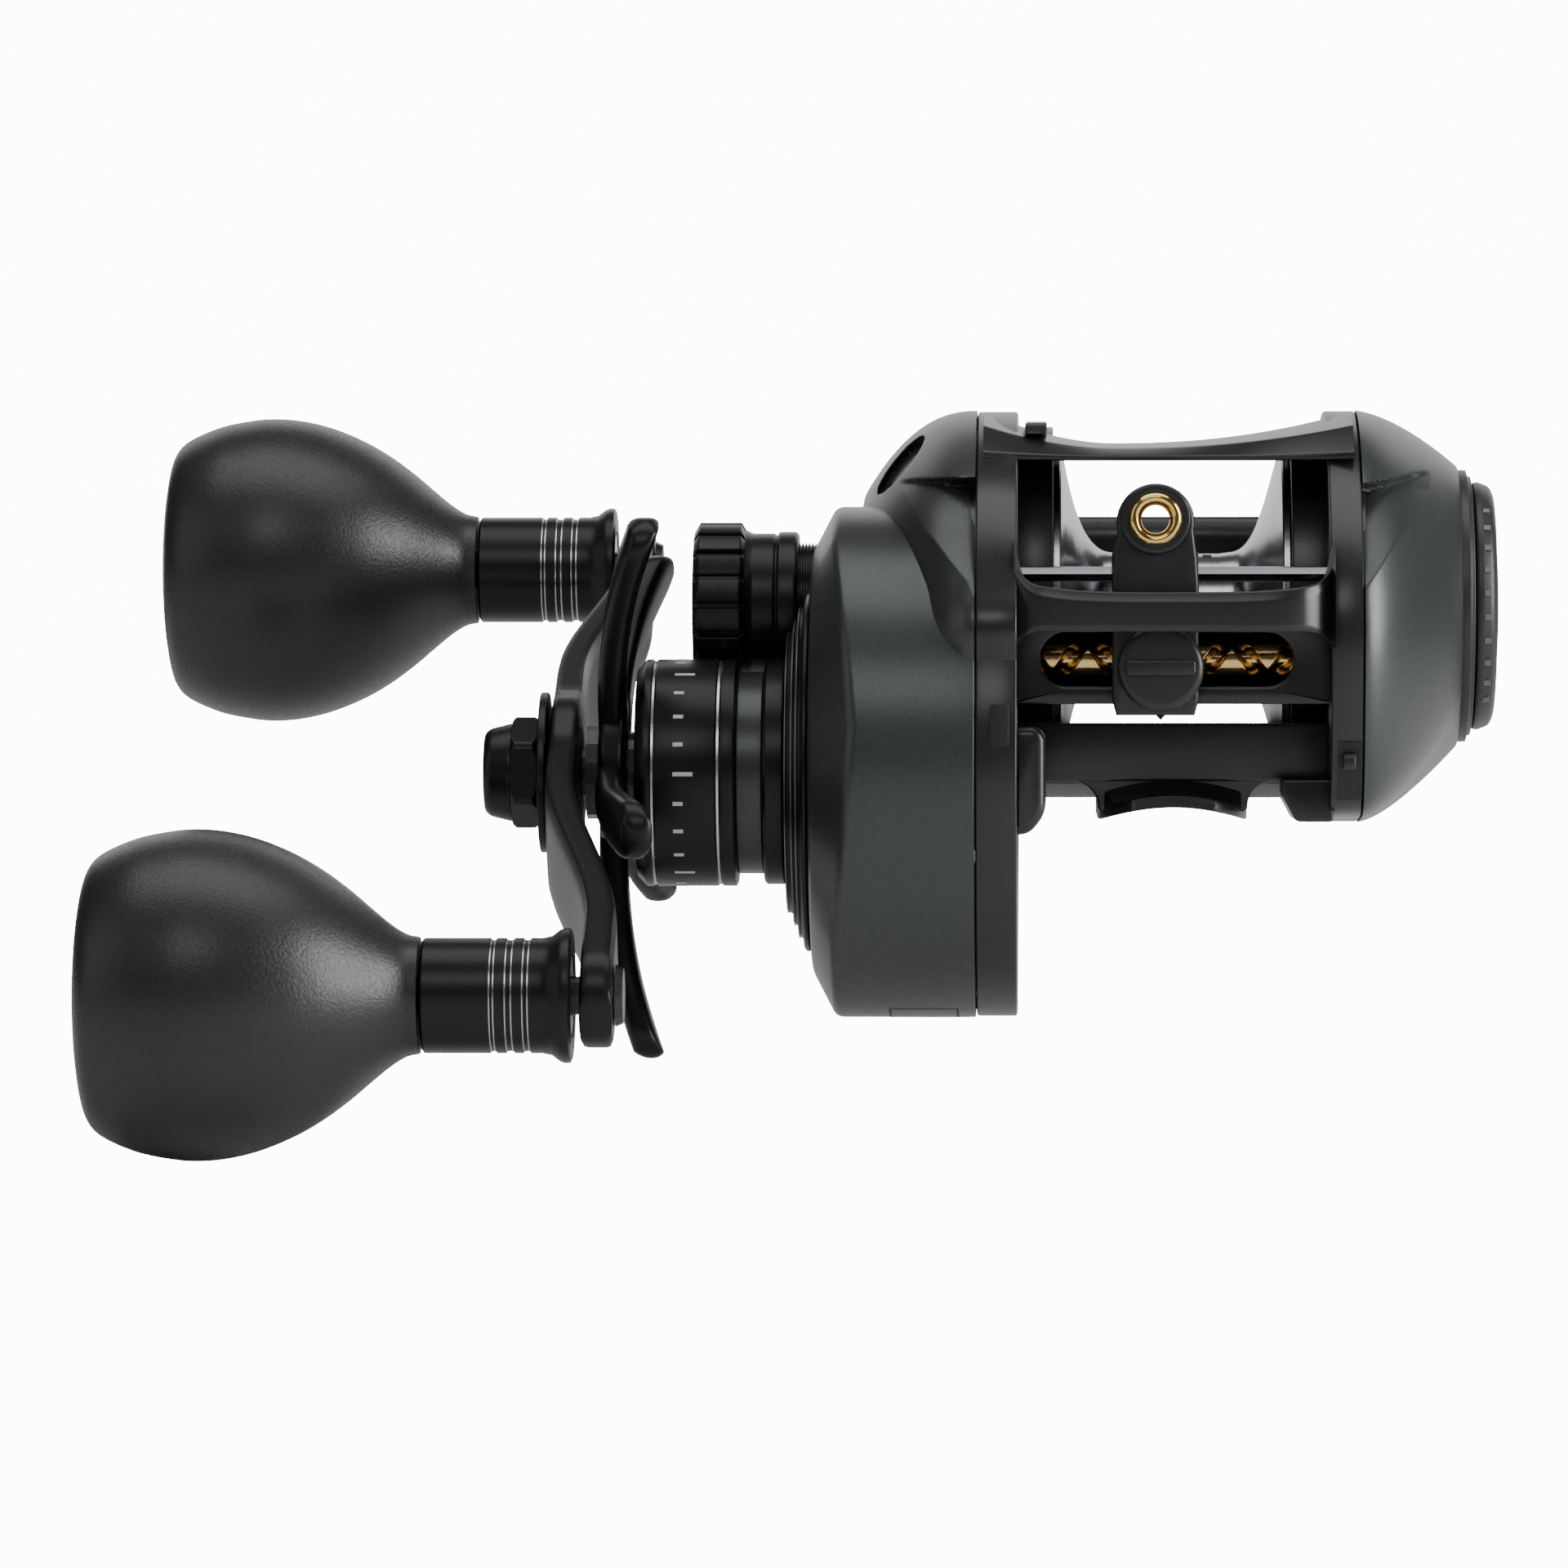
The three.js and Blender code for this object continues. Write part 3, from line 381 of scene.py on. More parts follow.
for place, end in KNOBS:
    outer = [(-86.8, 6.3), (-86.5, 6.65)]
    for low, high in GROOVES:
        outer += [(low, 6.65), (low + 0.12, 6.4), (high - 0.12, 6.4), (high, 6.65)]
    outer += [(-72.9, 6.65), (-71.8, 6.9), (-70.9, 7.6), (-70.3, 7.8), (-69.7, 7.75), (-69.5, 7.3)]
    collar = closed_ring(outer, [(-69.5, 4.9), (-72.9, 4.9), (-72.9, 2.6), (-86.8, 2.6)])
    make_piece(f"collar_{place}", [turned(collar, knob_axis(end), closed=True)], black_anodised,
               f"knob_{place}", [f"knob_collar_{place}"])
    rings = []
    for low, high in GROOVES:
        for x in (low + 0.08, high - 0.22):
            bright = [(x, 6.47), (x + 0.14, 6.47), (x + 0.14, 6.2), (x, 6.2)]
            rings.append(turned(bright, knob_axis(end), closed=True))
    make_piece(f"collar_grooves_{place}", rings, bright_cut, f"knob_{place}")


# ---------------------------------------------------------------- handle arm
# A bar of forged aluminium, cranked towards the reel at both ends, then edge-rounded and anodised black.
ARM_THICKNESS = 3.8
ARM_CRANK = 6.3
ARM_END_RADIUS = 6.0
ARM_MIDDLE_RADIUS = 9.6


def smooth_step(value, low, high):
    """Rises from 0 at low to 1 at high with no slope at either end."""
    t = np.clip((value - low) / (high - low), 0, 1)
    return t * t * (3 - 2 * t)


def swept_bar(stations, half_width, middle, half_thickness, sides=28, squareness=5.0):
    """A bar along distance s, of rounded rectangles x by width, given as (s, width, x) points."""
    angle = np.linspace(0, 2 * math.pi, sides, endpoint=False)
    cosine, sine = np.cos(angle), np.sin(angle)
    swell = (np.abs(cosine) ** squareness + np.abs(sine) ** squareness) ** (-1 / squareness)
    across = half_width[:, None] * (cosine * swell)[None, :]
    up = middle[:, None] + half_thickness[:, None] * (sine * swell)[None, :]
    along = np.repeat(stations[:, None], sides, axis=1)
    caps = [list(range(sides))[::-1], list(range((len(stations) - 1) * sides, len(stations) * sides))]
    faces = grid_faces(len(stations), sides).tolist() + caps
    return np.stack([along, across, up], axis=-1), faces


def turned_about_handle(points, angle):
    """Bar points (s, width, x) placed so that s runs out from the handle's axis at that angle."""
    s, w, x = points[..., 0], points[..., 1], points[..., 2]
    y = HANDLE_AXIS[0] + s * math.cos(angle) + w * math.sin(angle)
    z = HANDLE_AXIS[1] + s * math.sin(angle) - w * math.cos(angle)
    return np.stack([x, y, z], axis=-1)


reach = HANDLE_REACH + ARM_END_RADIUS
arm_angle = np.linspace(-math.pi / 2, math.pi / 2, 121)
arm_s = reach * np.sin(arm_angle)
past_spindle = np.clip(np.abs(arm_s) - HANDLE_REACH, 0, None)
end_cap = np.sqrt(np.clip(ARM_END_RADIUS ** 2 - past_spindle ** 2, 0.02, None))
taper = ARM_END_RADIUS + 2.4 * (1 - np.clip(np.abs(arm_s) / HANDLE_REACH, 0, 1))
hub = np.sqrt(np.clip(ARM_MIDDLE_RADIUS ** 2 - arm_s ** 2, 0, None))
arm_width = np.where(np.abs(arm_s) > HANDLE_REACH, end_cap, np.maximum(taper, hub))
arm_x = -72.9 + ARM_CRANK * smooth_step(np.abs(arm_s), 13, 46)
edge = np.minimum(1.0, arm_width / 1.2)
bar, bar_faces = swept_bar(arm_s, arm_width, arm_x, ARM_THICKNESS / 2 * edge, sides=36, squareness=7.0)
make_piece("cranked_arm", [(turned_about_handle(bar, HANDLE_TILT), bar_faces)], black_anodised, "handle",
           ["handle_arm"], crease=40)


# ---------------------------------------------------------------- handle nut and retainer
# A tapered cap nut with a hexagon, locked by a thin round plate under it. Both are anodised black.
def hexagon_radius(across_flats, corner_round):
    """Radius of a hexagon at each angle, with its corners cut back to a circle."""
    def radius_at(x, radius, angle):
        turn = (angle + math.pi / 6) % (math.pi / 3) - math.pi / 6
        flat = across_flats / 2 / np.cos(turn)
        return np.minimum(np.minimum(flat, corner_round) * np.ones_like(radius), radius)
    return radius_at


nut_hexagon = soften([(-79.5, 0), (-79.5, 6.3), (-79.0, 6.75), (-76.9, 6.75), (-76.4, 6.4), (-76.4, 3.3)],
                     0.2)
nut_cap = soften([(-82.9, 0), (-82.9, 4.7), (-82.2, 5.3), (-79.4, 6.0), (-79.3, 3.3)], 0.5)
make_piece("cap_nut", [turned(nut_hexagon, HANDLE_AXIS, 192, radius_at=hexagon_radius(12.0, 6.7)),
                       turned(nut_cap, HANDLE_AXIS)], black_anodised, "handle", ["handle_nut"])
plate = soften([(-76.1, 3.3), (-76.1, 9.7), (-75.1, 9.7), (-75.1, 3.3)], 0.25)
make_piece("retainer_plate", [turned(plate, HANDLE_AXIS, closed=True)], black_anodised, "handle",
           ["nut_retainer"])


# ---------------------------------------------------------------- star wheel
# Five bowed arms with flat paddles round a thick hub, die-cast in aluminium and anodised black.
STAR_ROOT = 5
STAR_TIP = 34.6
STAR_FIRST_ARM = -96.5
star_hub = soften([(-68.7, 3.3), (-68.7, 8.6), (-65.7, 9.4), (-65.7, 3.3)], 0.7)
star_parts = [turned(star_hub, HANDLE_AXIS, closed=True)]
star_s = STAR_ROOT + (STAR_TIP - STAR_ROOT) * np.sin(np.linspace(0, math.pi / 2, 60))
star_width = 2.9 + 0.9 * smooth_step(star_s, 18, 30) - 0.3 * smooth_step(star_s, 5, 12)
star_tip = np.sqrt(np.clip(1 - (np.clip(star_s - 31.2, 0, None) / 3.4) ** 2, 0.004, 1))
star_bow = -67.2 + 4.6 * (np.clip(star_s - 10, 0, None) / 24.6) ** 2
star_thickness = (1.75 + 0.1 * smooth_step(star_s, 24, 32)) * np.minimum(1, star_tip * 1.6)
for arm in range(5):
    blade, blade_faces = swept_bar(star_s, star_width * star_tip, star_bow, star_thickness, sides=32,
                                   squareness=3.2)
    star_parts.append((turned_about_handle(blade, math.radians(STAR_FIRST_ARM + 72 * arm)), blade_faces))
make_piece("star_drag_wheel", star_parts, black_anodised, "star", ["star_wheel"], crease=40)


# ---------------------------------------------------------------- clutch housing
# A long turned boss round the drive shaft, anodised black, with bright lines and engraved setting marks.
boss_line = soften([(-64.3, 5.6), (-64.3, 12.5), (-63.2, 13.7), (-62.4, 13.7), (-62.25, 13.45),
                    (-62.0, 13.45),
                    (-61.85, 13.7), (-54.6, 13.7), (-54.45, 13.45), (-54.15, 13.45), (-54.0, 13.7),
                    (-52.4, 13.7), (-52.2, 13.3)], 0.12, 2)
boss = closed_ring(boss_line, [(-52.2, 9.6), (-60, 9.6), (-60, 5.6)])
make_piece("clutch_boss", [turned(boss, HANDLE_AXIS, 144, closed=True)], black_anodised, "frame",
           ["clutch_housing"])
lines = [turned([(low, 13.5), (low + 0.28, 13.5), (low + 0.28, 13.3), (low, 13.3)], HANDLE_AXIS, 144,
                closed=True) for low in (-62.27, -54.44)]
make_piece("boss_bright_lines", lines, bright_cut, "frame")

white_ink = grained_material("white_ink", (0.75, 0.75, 0.74), (0.66, 0.66, 0.65), 0.0, 0.5, 0.1, 3000.0, 4.0)


def block_on_cylinder(x_low, x_high, angle_low, angle_high, inner, outer, axis, count=6):
    """A thin pad lying on a cylinder: x, angle and radius each run between two values."""
    angles = np.linspace(angle_low, angle_high, count)
    section = [(x_low, inner), (x_low, outer), (x_high, outer), (x_high, inner)]
    points = np.array([[(x, axis[0] + r * math.cos(a), axis[1] + r * math.sin(a)) for x, r in section]
                       for a in angles])
    caps = [[0, 1, 2, 3], [(count - 1) * 4 + k for k in (3, 2, 1, 0)]]
    return points, grid_faces(count, 4).tolist() + caps


MARK_HALF_ANGLE = 0.018
marks = []
for step in range(24):
    middle = math.radians(15 * step)
    mark_end = -57.2 if step % 4 == 0 else -58.4
    marks.append(block_on_cylinder(-59.6, mark_end, middle - MARK_HALF_ANGLE, middle + MARK_HALF_ANGLE, 13.6,
                                   13.73, HANDLE_AXIS))
make_piece("setting_marks", marks, white_ink, "frame")

# Behind the boss come a painted neck and a black collar, both part of the cover's casting.
green_paint = grained_material("satin_green_paint", (0.043, 0.051, 0.045), (0.054, 0.063, 0.056), 0.55, 0.36,
                               0.22, 5200.0, 7.0, cloud_size=3500.0, coat=0.18, coat_roughness=0.25)
neck_line = soften([(-52.1, 9.7), (-52.1, 12.2), (-49.1, 12.2), (-49.1, 9.7)], 0.1)
make_piece("painted_neck", [turned(neck_line, HANDLE_AXIS, closed=True)], green_paint, "frame")
collar_line = soften([(-49.0, 9.6), (-49.0, 13.2), (-48.6, 13.5), (-46.6, 13.5), (-46.3, 13.2), (-43.5, 13.2),
                      (-43.5, 9.6)], 0.15)
make_piece("boss_collar", [turned(collar_line, HANDLE_AXIS, closed=True)], black_anodised, "frame")


# ---------------------------------------------------------------- stepped cover ring
# A trim ring turned in three steps, each with a bright edge, cut away round the cast control.
CAST_CONTROL_CLEARANCE = 10.6


def cut_round_cast_control(x, radius, angle):
    """Holds the ring's radius back wherever it would run into the cast control beside it."""
    dy = SPOOL_AXIS[0] - HANDLE_AXIS[0]
    dz = SPOOL_AXIS[1] - HANDLE_AXIS[1]
    along = dy * np.cos(angle) + dz * np.sin(angle)
    inside = CAST_CONTROL_CLEARANCE ** 2 - (dy ** 2 + dz ** 2 - along ** 2)
    limit = np.where((inside > 0) & (along > 0), along - np.sqrt(np.clip(inside, 0, None)), 99)
    return np.minimum(radius, limit)


ring_line = soften([(-46.2, 13.9), (-46.2, 16.6), (-46.0, 16.9), (-45.4, 17.1), (-45.4, 18.1), (-45.2, 18.4),
                    (-44.8, 18.6), (-44.8, 19.6), (-44.6, 19.9), (-44.2, 20.1), (-44.2, 21.2), (-43.9, 21.6),
                    (-43.5, 21.6), (-43.5, 13.9)], 0.08, 2)
make_piece("stepped_ring", [turned(ring_line, HANDLE_AXIS, 240, closed=True,
                                   radius_at=cut_round_cast_control)],
           black_anodised, "frame", ["cover_ring"])
dull_cut = grained_material("dull_cut_aluminium", (0.20, 0.205, 0.21), (0.16, 0.165, 0.17), 1.0, 0.34, 0.15,
                            1800.0, 3.0)
edges = [turned([(x, r - 0.12), (x, r), (x + 0.14, r + 0.06), (x + 0.14, r - 0.12)], HANDLE_AXIS, 240,
                closed=True, radius_at=cut_round_cast_control)
         for x, r in ((-46.24, 16.95), (-45.44, 18.45), (-44.84, 19.95))]
make_piece("ring_bright_edges", edges, dull_cut, "frame")


# ---------------------------------------------------------------- cast control knob
# A turned aluminium cap with wide milled grip flats, screwed over the neck on the spool's axis.
RIBS = 18


def ribbed(x, radius, angle):
    """Cuts a shallow groove between wide ribs, only along the grip part of the cap."""
    phase = (angle / (2 * math.pi) * RIBS) % 1.0
    groove = smooth_step(np.abs(phase - 0.5), 0.36, 0.42)
    along = smooth_step(x, -58.0, -57.6) * (1 - smooth_step(x, -52.1, -51.8))
    return radius - 0.6 * groove * along


cap_line = soften([(-58.1, 0), (-58.1, 9.0), (-57.4, 10.2), (-57.0, 10.2), (-55, 10.2), (-53, 10.2),
                   (-52.3, 10.2), (-51.8, 9.3), (-50.9, 8.9), (-48.3, 8.9), (-48.1, 8.7), (-47.9, 8.7),
                   (-47.7, 9.1), (-45.7, 9.1), (-45.3, 8.8), (-45.3, 6.8)], 0.18, 3)
cap_line = np.concatenate([cap_line, [(-55.6, 6.8), (-55.6, 0)]])
make_piece("cast_control_cap", [turned(cap_line, SPOOL_AXIS, RIBS * 24, radius_at=ribbed)], black_anodised,
           "cast_knob", ["cast_control_knob"])
thread = [(-45.3 + 0.1 * k, 7.7 if k % 4 < 2 else 7.4) for k in range(22)]
make_piece("threaded_neck", [turned(closed_ring(thread, [(-43.1, 5.0), (-51.5, 5.0), (-51.5, 6.4),
                                                         (-45.4, 6.4)]),
                                    SPOOL_AXIS, closed=True)], black_anodised, "frame")


# ---------------------------------------------------------------- gear-side cover
# A cast cover in two forms: a round gear housing with a broad bevel, and a faceted shoulder round the spool.
HOUSING = (-14.0, 5.2)
HOUSING_RADIUS = 30.8
BEVEL_RADIUS = 25.4
PARTING = -23.5
OUTLINE_POINTS = 420


def bent_ridge(x, radius, angle):
    """Shifts the bevel's ridge along x towards a kink at the front; returns the new x."""
    away = np.abs((angle - math.radians(172) + math.pi) % (2 * math.pi) - math.pi)
    kink = np.clip(1 - away / math.radians(52), 0, 1)
    on_bevel = np.clip((radius - BEVEL_RADIUS) / (HOUSING_RADIUS - BEVEL_RADIUS), 0, 1)
    on_side = np.clip((PARTING - x) / (PARTING + 40.3), 0, 1)
    return x + 2.5 * kink * np.minimum(on_bevel, on_side)


housing_outer = soften([(-43.2, 12.5), (-43.2, 25.2), (-40.3, HOUSING_RADIUS), (-36, HOUSING_RADIUS),
                        (-30, HOUSING_RADIUS), (PARTING, HOUSING_RADIUS), (PARTING, 30.3)], 0.9, 5)
housing_line = closed_ring(housing_outer, [(PARTING, 29.0), (-39.4, 29.0), (-41.5, 24.6), (-41.5, 12.5)])
housing_points, housing_faces = turned(housing_line, HOUSING, 288, closed=True)
housing_angle = np.linspace(0, 2 * math.pi, 288, endpoint=False)[None, :]
spread = np.hypot(housing_points[..., 1] - HOUSING[0], housing_points[..., 2] - HOUSING[1])
housing_points[..., 0] = bent_ridge(housing_points[..., 0], spread, housing_angle)
make_piece("gear_housing", [(housing_points, housing_faces)], green_paint, "frame", ["gear_cover"], crease=28)

PORT_X = (-33.6, -25.8)
PORT_ANGLE = (math.radians(-90 - 17.0), math.radians(-90))
# A near-black matt finish, used for the dark joint round the oil port and for painted shade in two frame
# recesses.
joint_and_shade_black = grained_material("parting_line_and_shade_black", (0.004, 0.004, 0.004), (0.006, 0.006, 0.006), 0.0, 0.6,
                               0.1, 2000.0, 3.0)
PORT_FLOOR = 30.0
plug = block_on_cylinder(*PORT_X, *PORT_ANGLE, PORT_FLOOR, HOUSING_RADIUS + 0.03, HOUSING, 16)
make_piece("oil_port_plug", [plug], green_paint, "frame", ["oil_port_cover"])
port_edge = 0.28
port_turn = port_edge / HOUSING_RADIUS
port_left, port_right = PORT_X
port_first, port_last = PORT_ANGLE
gap_strips = [block_on_cylinder(*span, PORT_FLOOR, HOUSING_RADIUS + 0.02, HOUSING, count) for span, count in (
    ((port_left - port_edge, port_left, port_first - port_turn, port_last + port_turn), 16),
    ((port_right, port_right + port_edge, port_first - port_turn, port_last + port_turn), 16),
    ((port_left, port_right, port_first - port_turn, port_first), 4),
    ((port_left, port_right, port_last, port_last + port_turn), 4))]
make_piece("oil_port_gap", gap_strips, joint_and_shade_black, "frame")


def closed_curve(points, count):
    """A smooth closed outline through the points, by the same cubic all the way round."""
    points = np.asarray(points, dtype=float)
    n = len(points)
    position = np.linspace(0, n, count, endpoint=False)
    index = position.astype(int)
    t = (position - index)[:, None]
    return cubic_between(points[(index - 1) % n], points[index % n], points[(index + 1) % n],
                         points[(index + 2) % n], t)


SHOULDER_OUTLINE = closed_curve([(-42.4, 18), (-40.6, 27), (-33.5, 36.8), (-22, 43.5), (-8, 47.5), (6, 47.2),
                                 (18, 42), (25.5, 32), (26.4, 18), (20, 6), (0, -2), (-30, 0)],
                                OUTLINE_POINTS)
SHOULDER_CENTRE = np.array([-4.0, 20.0])


def shoulder_section(x):
    """The shoulder's outline at x: the parting outline drawn in to its centre, fastest in depth."""
    u = np.clip((PARTING - x) / 14.0, 0, 1)
    scale = np.array([1 - 0.55 * u ** 1.7, 1 - 0.39 * u ** 2.3])
    return SHOULDER_CENTRE + (SHOULDER_OUTLINE - SHOULDER_CENTRE) * scale


def carve_front(x, points, boundary_z, boundary_x, top, slope, side):
    """Hollows a cover's front beyond a slanting crease: depth grows by slope per millimetre past it."""
    y, z = points[:, 0], points[:, 1]
    crease = np.interp(z, boundary_z, boundary_x)
    past = np.clip(side * (x - crease), 0, None)
    below_top = 1 - smooth_step(z, top - 0.35, top + 0.35)
    above_foot = smooth_step(z, boundary_z[0] - 3, boundary_z[0])
    window = below_top * smooth_step(-y, 4, 9) * above_foot
    moved = points.copy()
    moved[:, 0] += slope * past * window
    return moved


def stand_up(outline, level, along):
    """Places a flat outline at a level along x (outline holds y, z) or along y (outline holds x, z)."""
    flat = np.full(len(outline), level)
    if along == "x":
        return np.column_stack([flat, outline])
    return np.column_stack([outline[:, 0], flat, outline[:, 1]])


LENS_FOOT = (-35.4, 37.6)
LENS_RUN = (5.5, 7.0)
LENS_LENGTH = 8.9
shoulder_rows = []
for x in np.concatenate([np.linspace(PARTING, -37.0, 90), [-37.25, -37.4]]):
    section = shoulder_section(x)
    if x < -37.05:
        section = SHOULDER_CENTRE + (section - SHOULDER_CENTRE) * (0.985 if x > -37.3 else 0.95)
    section = carve_front(x, section, [24, 27, 33, 38.4, 39.6], [-23.0, -24.5, -29.5, -32.6, -33.2], 38.9,
                          0.55, 1)
    from_foot = x - LENS_FOOT[0], section[:, 1] - LENS_FOOT[1]
    along = (from_foot[0] * LENS_RUN[0] + from_foot[1] * LENS_RUN[1]) / (LENS_RUN[0] ** 2 + LENS_RUN[1] ** 2)
    off = np.abs(from_foot[0] * LENS_RUN[1] - from_foot[1] * LENS_RUN[0]) / LENS_LENGTH
    lens = smooth_step(np.sqrt(np.clip(1 - (2 * np.clip(along, 0, 1) - 1) ** 2, 0, 1)) - off, 0.0, 0.2)
    section[:, 0] += 1.9 * lens * (section[:, 0] < 0)
    section[:, 1] -= 0.9 * lens * (section[:, 0] < 0)
    shoulder_rows.append(stand_up(section, x, "x"))
hollow_rows = [row + (np.array([0, *SHOULDER_CENTRE]) - row) * [0, 0.055, 0.055]
               for row in shoulder_rows[::10][::-1]]
for row in hollow_rows:
    row[:, 0] = np.maximum(row[:, 0], -35.6)
shoulder = np.stack(shoulder_rows + hollow_rows)
first_inner = len(shoulder_rows)
shoulder_faces = (grid_faces(first_inner, OUTLINE_POINTS).tolist()
                  + (grid_faces(len(hollow_rows), OUTLINE_POINTS) + first_inner * OUTLINE_POINTS).tolist())
rim = np.arange(OUTLINE_POINTS)
beside = (rim + 1) % OUTLINE_POINTS
last = (len(shoulder) - 1) * OUTLINE_POINTS
shoulder_faces += np.stack([rim, last + rim, last + beside, beside], axis=-1).tolist()
shoulder_faces.append(list((first_inner - 1) * OUTLINE_POINTS + rim))
shoulder_faces.append(list(first_inner * OUTLINE_POINTS + rim)[::-1])
make_piece("gear_shoulder", [(shoulder, shoulder_faces)], green_paint, "frame", crease=24)


# ---------------------------------------------------------------- palm-side cover
# A thin cast shell, faceted at the front, that narrows from the frame's outline to the round dial seat.
PALM_POINTS = [(-38, 18), (-35, 30), (-24, 41.5), (-8, 47.4), (8, 46.8), (21, 39.5), (28, 26), (25, 10),
               (14, 1), (-2, -1.7), (-20, -1.7), (-33, 1.5)]
PALM_OUTLINE = closed_curve(PALM_POINTS, OUTLINE_POINTS)
PALM_BLEND_START = 22.2
PALM_START = 22.5
PALM_END = 35.1
SEAT_RADIUS = 16.9


def about(centre, radius, angle):
    """An outline round a centre, with a point at each angle and the radius given there."""
    return np.column_stack([centre[0] + radius * np.cos(angle), centre[1] + radius * np.sin(angle)])


palm_angle = np.arctan2(PALM_OUTLINE[:, 1] - SPOOL_AXIS[1], PALM_OUTLINE[:, 0] - SPOOL_AXIS[0])


def palm_section(x):
    """The cover's outline at x: a blend from the frame's outline to the dial seat's circle."""
    u = np.clip((x - PALM_BLEND_START) / (PALM_END - PALM_BLEND_START), 0, 1)
    blend = u ** 1.6
    section = (1 - blend) * PALM_OUTLINE + blend * about(SPOOL_AXIS, SEAT_RADIUS, palm_angle)
    top = 38.3 + (x - 23.4) * 0.234
    return carve_front(x, section, [26, 28, 38, 40.4], [22.4, 24.0, 30.9, 31.2], top, 0.65, -1)


PALM_WALL = 2.0
palm_rows = [stand_up(palm_section(x), x, "x") for x in np.linspace(PALM_START, PALM_END - 0.25, 90)]
for x, shrink in [(PALM_END - 0.08, 0.2), (PALM_END, 0.5), (PALM_END, 2.4)]:
    palm_rows.append(stand_up(about(SPOOL_AXIS, SEAT_RADIUS - shrink, palm_angle), x, "x"))
for x in np.linspace(PALM_END - 1.7, PALM_START, 12):
    section = palm_section(x)
    axis_point = np.array(SPOOL_AXIS)
    distance = np.linalg.norm(section - axis_point, axis=1, keepdims=True)
    palm_rows.append(stand_up(axis_point + (section - axis_point) * (1 - PALM_WALL / distance), x, "x"))
palm_shell = np.stack(palm_rows)
make_piece("palm_shell", [(palm_shell, grid_faces(len(palm_shell), OUTLINE_POINTS, wrap_rows=True))],
           green_paint, "side_plate", ["palm_cover"], crease=24)
seat_line = [(33.2, 4.4), (33.2, 15.5), (34.9, 15.5), (34.9, 4.4)]
make_piece("dial_seat", [turned(seat_line, SPOOL_AXIS, closed=True)], green_paint, "side_plate")


# ---------------------------------------------------------------- brake dial and its ring
# A moulded dial with a rounded bevel and a low dome, marked with ten short strokes, over a plain black ring.
black_paint = grained_material("satin_black_paint", (0.012, 0.013, 0.0125), (0.014, 0.015, 0.0145), 0.1, 0.30,
                               0.06, 4200.0, 3.0, coat=0.1, coat_roughness=0.3)
dial_black = grained_material("dial_black", (0.020, 0.021, 0.021), (0.025, 0.026, 0.026), 0.1, 0.40, 0.2,
                              4200.0, 10.0)
ring_profile = soften([(35.0, 14.0), (35.0, 16.6), (36.0, 16.6), (36.1, 15.9), (36.55, 15.8), (36.55, 14.0)],
                      0.12, 3)
make_piece("dial_seat_ring", [turned(ring_profile, SPOOL_AXIS, 144, closed=True)], dial_black, "side_plate",
           ["dial_ring"])
dial_profile = np.concatenate([
    [(36.7, 0.0), (36.7, 14.4)],
    soften([(36.7, 14.4), (36.75, 15.0), (37.4, 15.15), (38.9, 14.6), (39.35, 13.4), (39.3, 12.6),
            (39.4, 11.0), (39.75, 7.0), (39.9, 0.0)], 0.7, 5)])
make_piece("brake_dial_cap", [turned(dial_profile, SPOOL_AXIS, 180)], dial_black, "brake_dial",
           ["brake_dial"])
STROKE_HALF_ANGLE = 0.022
strokes = []
for mark in range(10):
    middle = math.radians(180 + (mark - 4.5) * 11)
    strokes.append(block_on_cylinder(37.7, 38.5, middle - STROKE_HALF_ANGLE, middle + STROKE_HALF_ANGLE, 14.6,
                                     15.12, SPOOL_AXIS))
grey_ink = grained_material("grey_ink", (0.16, 0.165, 0.165), (0.12, 0.125, 0.125), 0.0, 0.5, 0.1, 3000.0,
                            4.0)
make_piece("dial_strokes", strokes, grey_ink, "brake_dial")


# ---------------------------------------------------------------- frame
# One aluminium casting in satin black: two side plates joined by bars, the brow, worm tunnel and floor.
LEFT_PLATE_INSIDE = -18.5
RIGHT_PLATE_INSIDE = 18.5


def inset_outline(outline, distance):
    """The closed outline moved inwards along its own normals by the distance."""
    ahead = np.roll(outline, -1, axis=0) - np.roll(outline, 1, axis=0)
    normal = np.column_stack([-ahead[:, 1], ahead[:, 0]])
    normal /= np.linalg.norm(normal, axis=1, keepdims=True) + 1e-9
    turn = np.sum(outline[:, 0] * np.roll(outline[:, 1], -1) - np.roll(outline[:, 0], -1) * outline[:, 1])
    return outline + normal * distance * (1 if turn > 0 else -1)


def rounded_rows(outline, low, high, radius, steps=3):
    """Copies of an outline from low to high, drawn in at both ends so that the edges are rounded."""
    rows = []
    for a in np.linspace(0, math.pi / 2, steps + 1):
        rows.append((inset_outline(outline, radius * (1 - math.sin(a))), low + radius * (1 - math.cos(a))))
    for a in np.linspace(math.pi / 2, 0, steps + 1):
        rows.append((inset_outline(outline, radius * (1 - math.sin(a))), high - radius * (1 - math.cos(a))))
    return rows


def prism(outline, low, high, radius=0.4, along="x"):
    """A solid bar with the outline as its section and rounded end edges."""
    outline = np.asarray(outline, dtype=float)
    rows = [stand_up(section, level, along) for section, level in rounded_rows(outline, low, high, radius)]
    n = len(outline)
    caps = [list(range(n))[::-1], list(range((len(rows) - 1) * n, len(rows) * n))]
    return np.stack(rows), grid_faces(len(rows), n).tolist() + caps


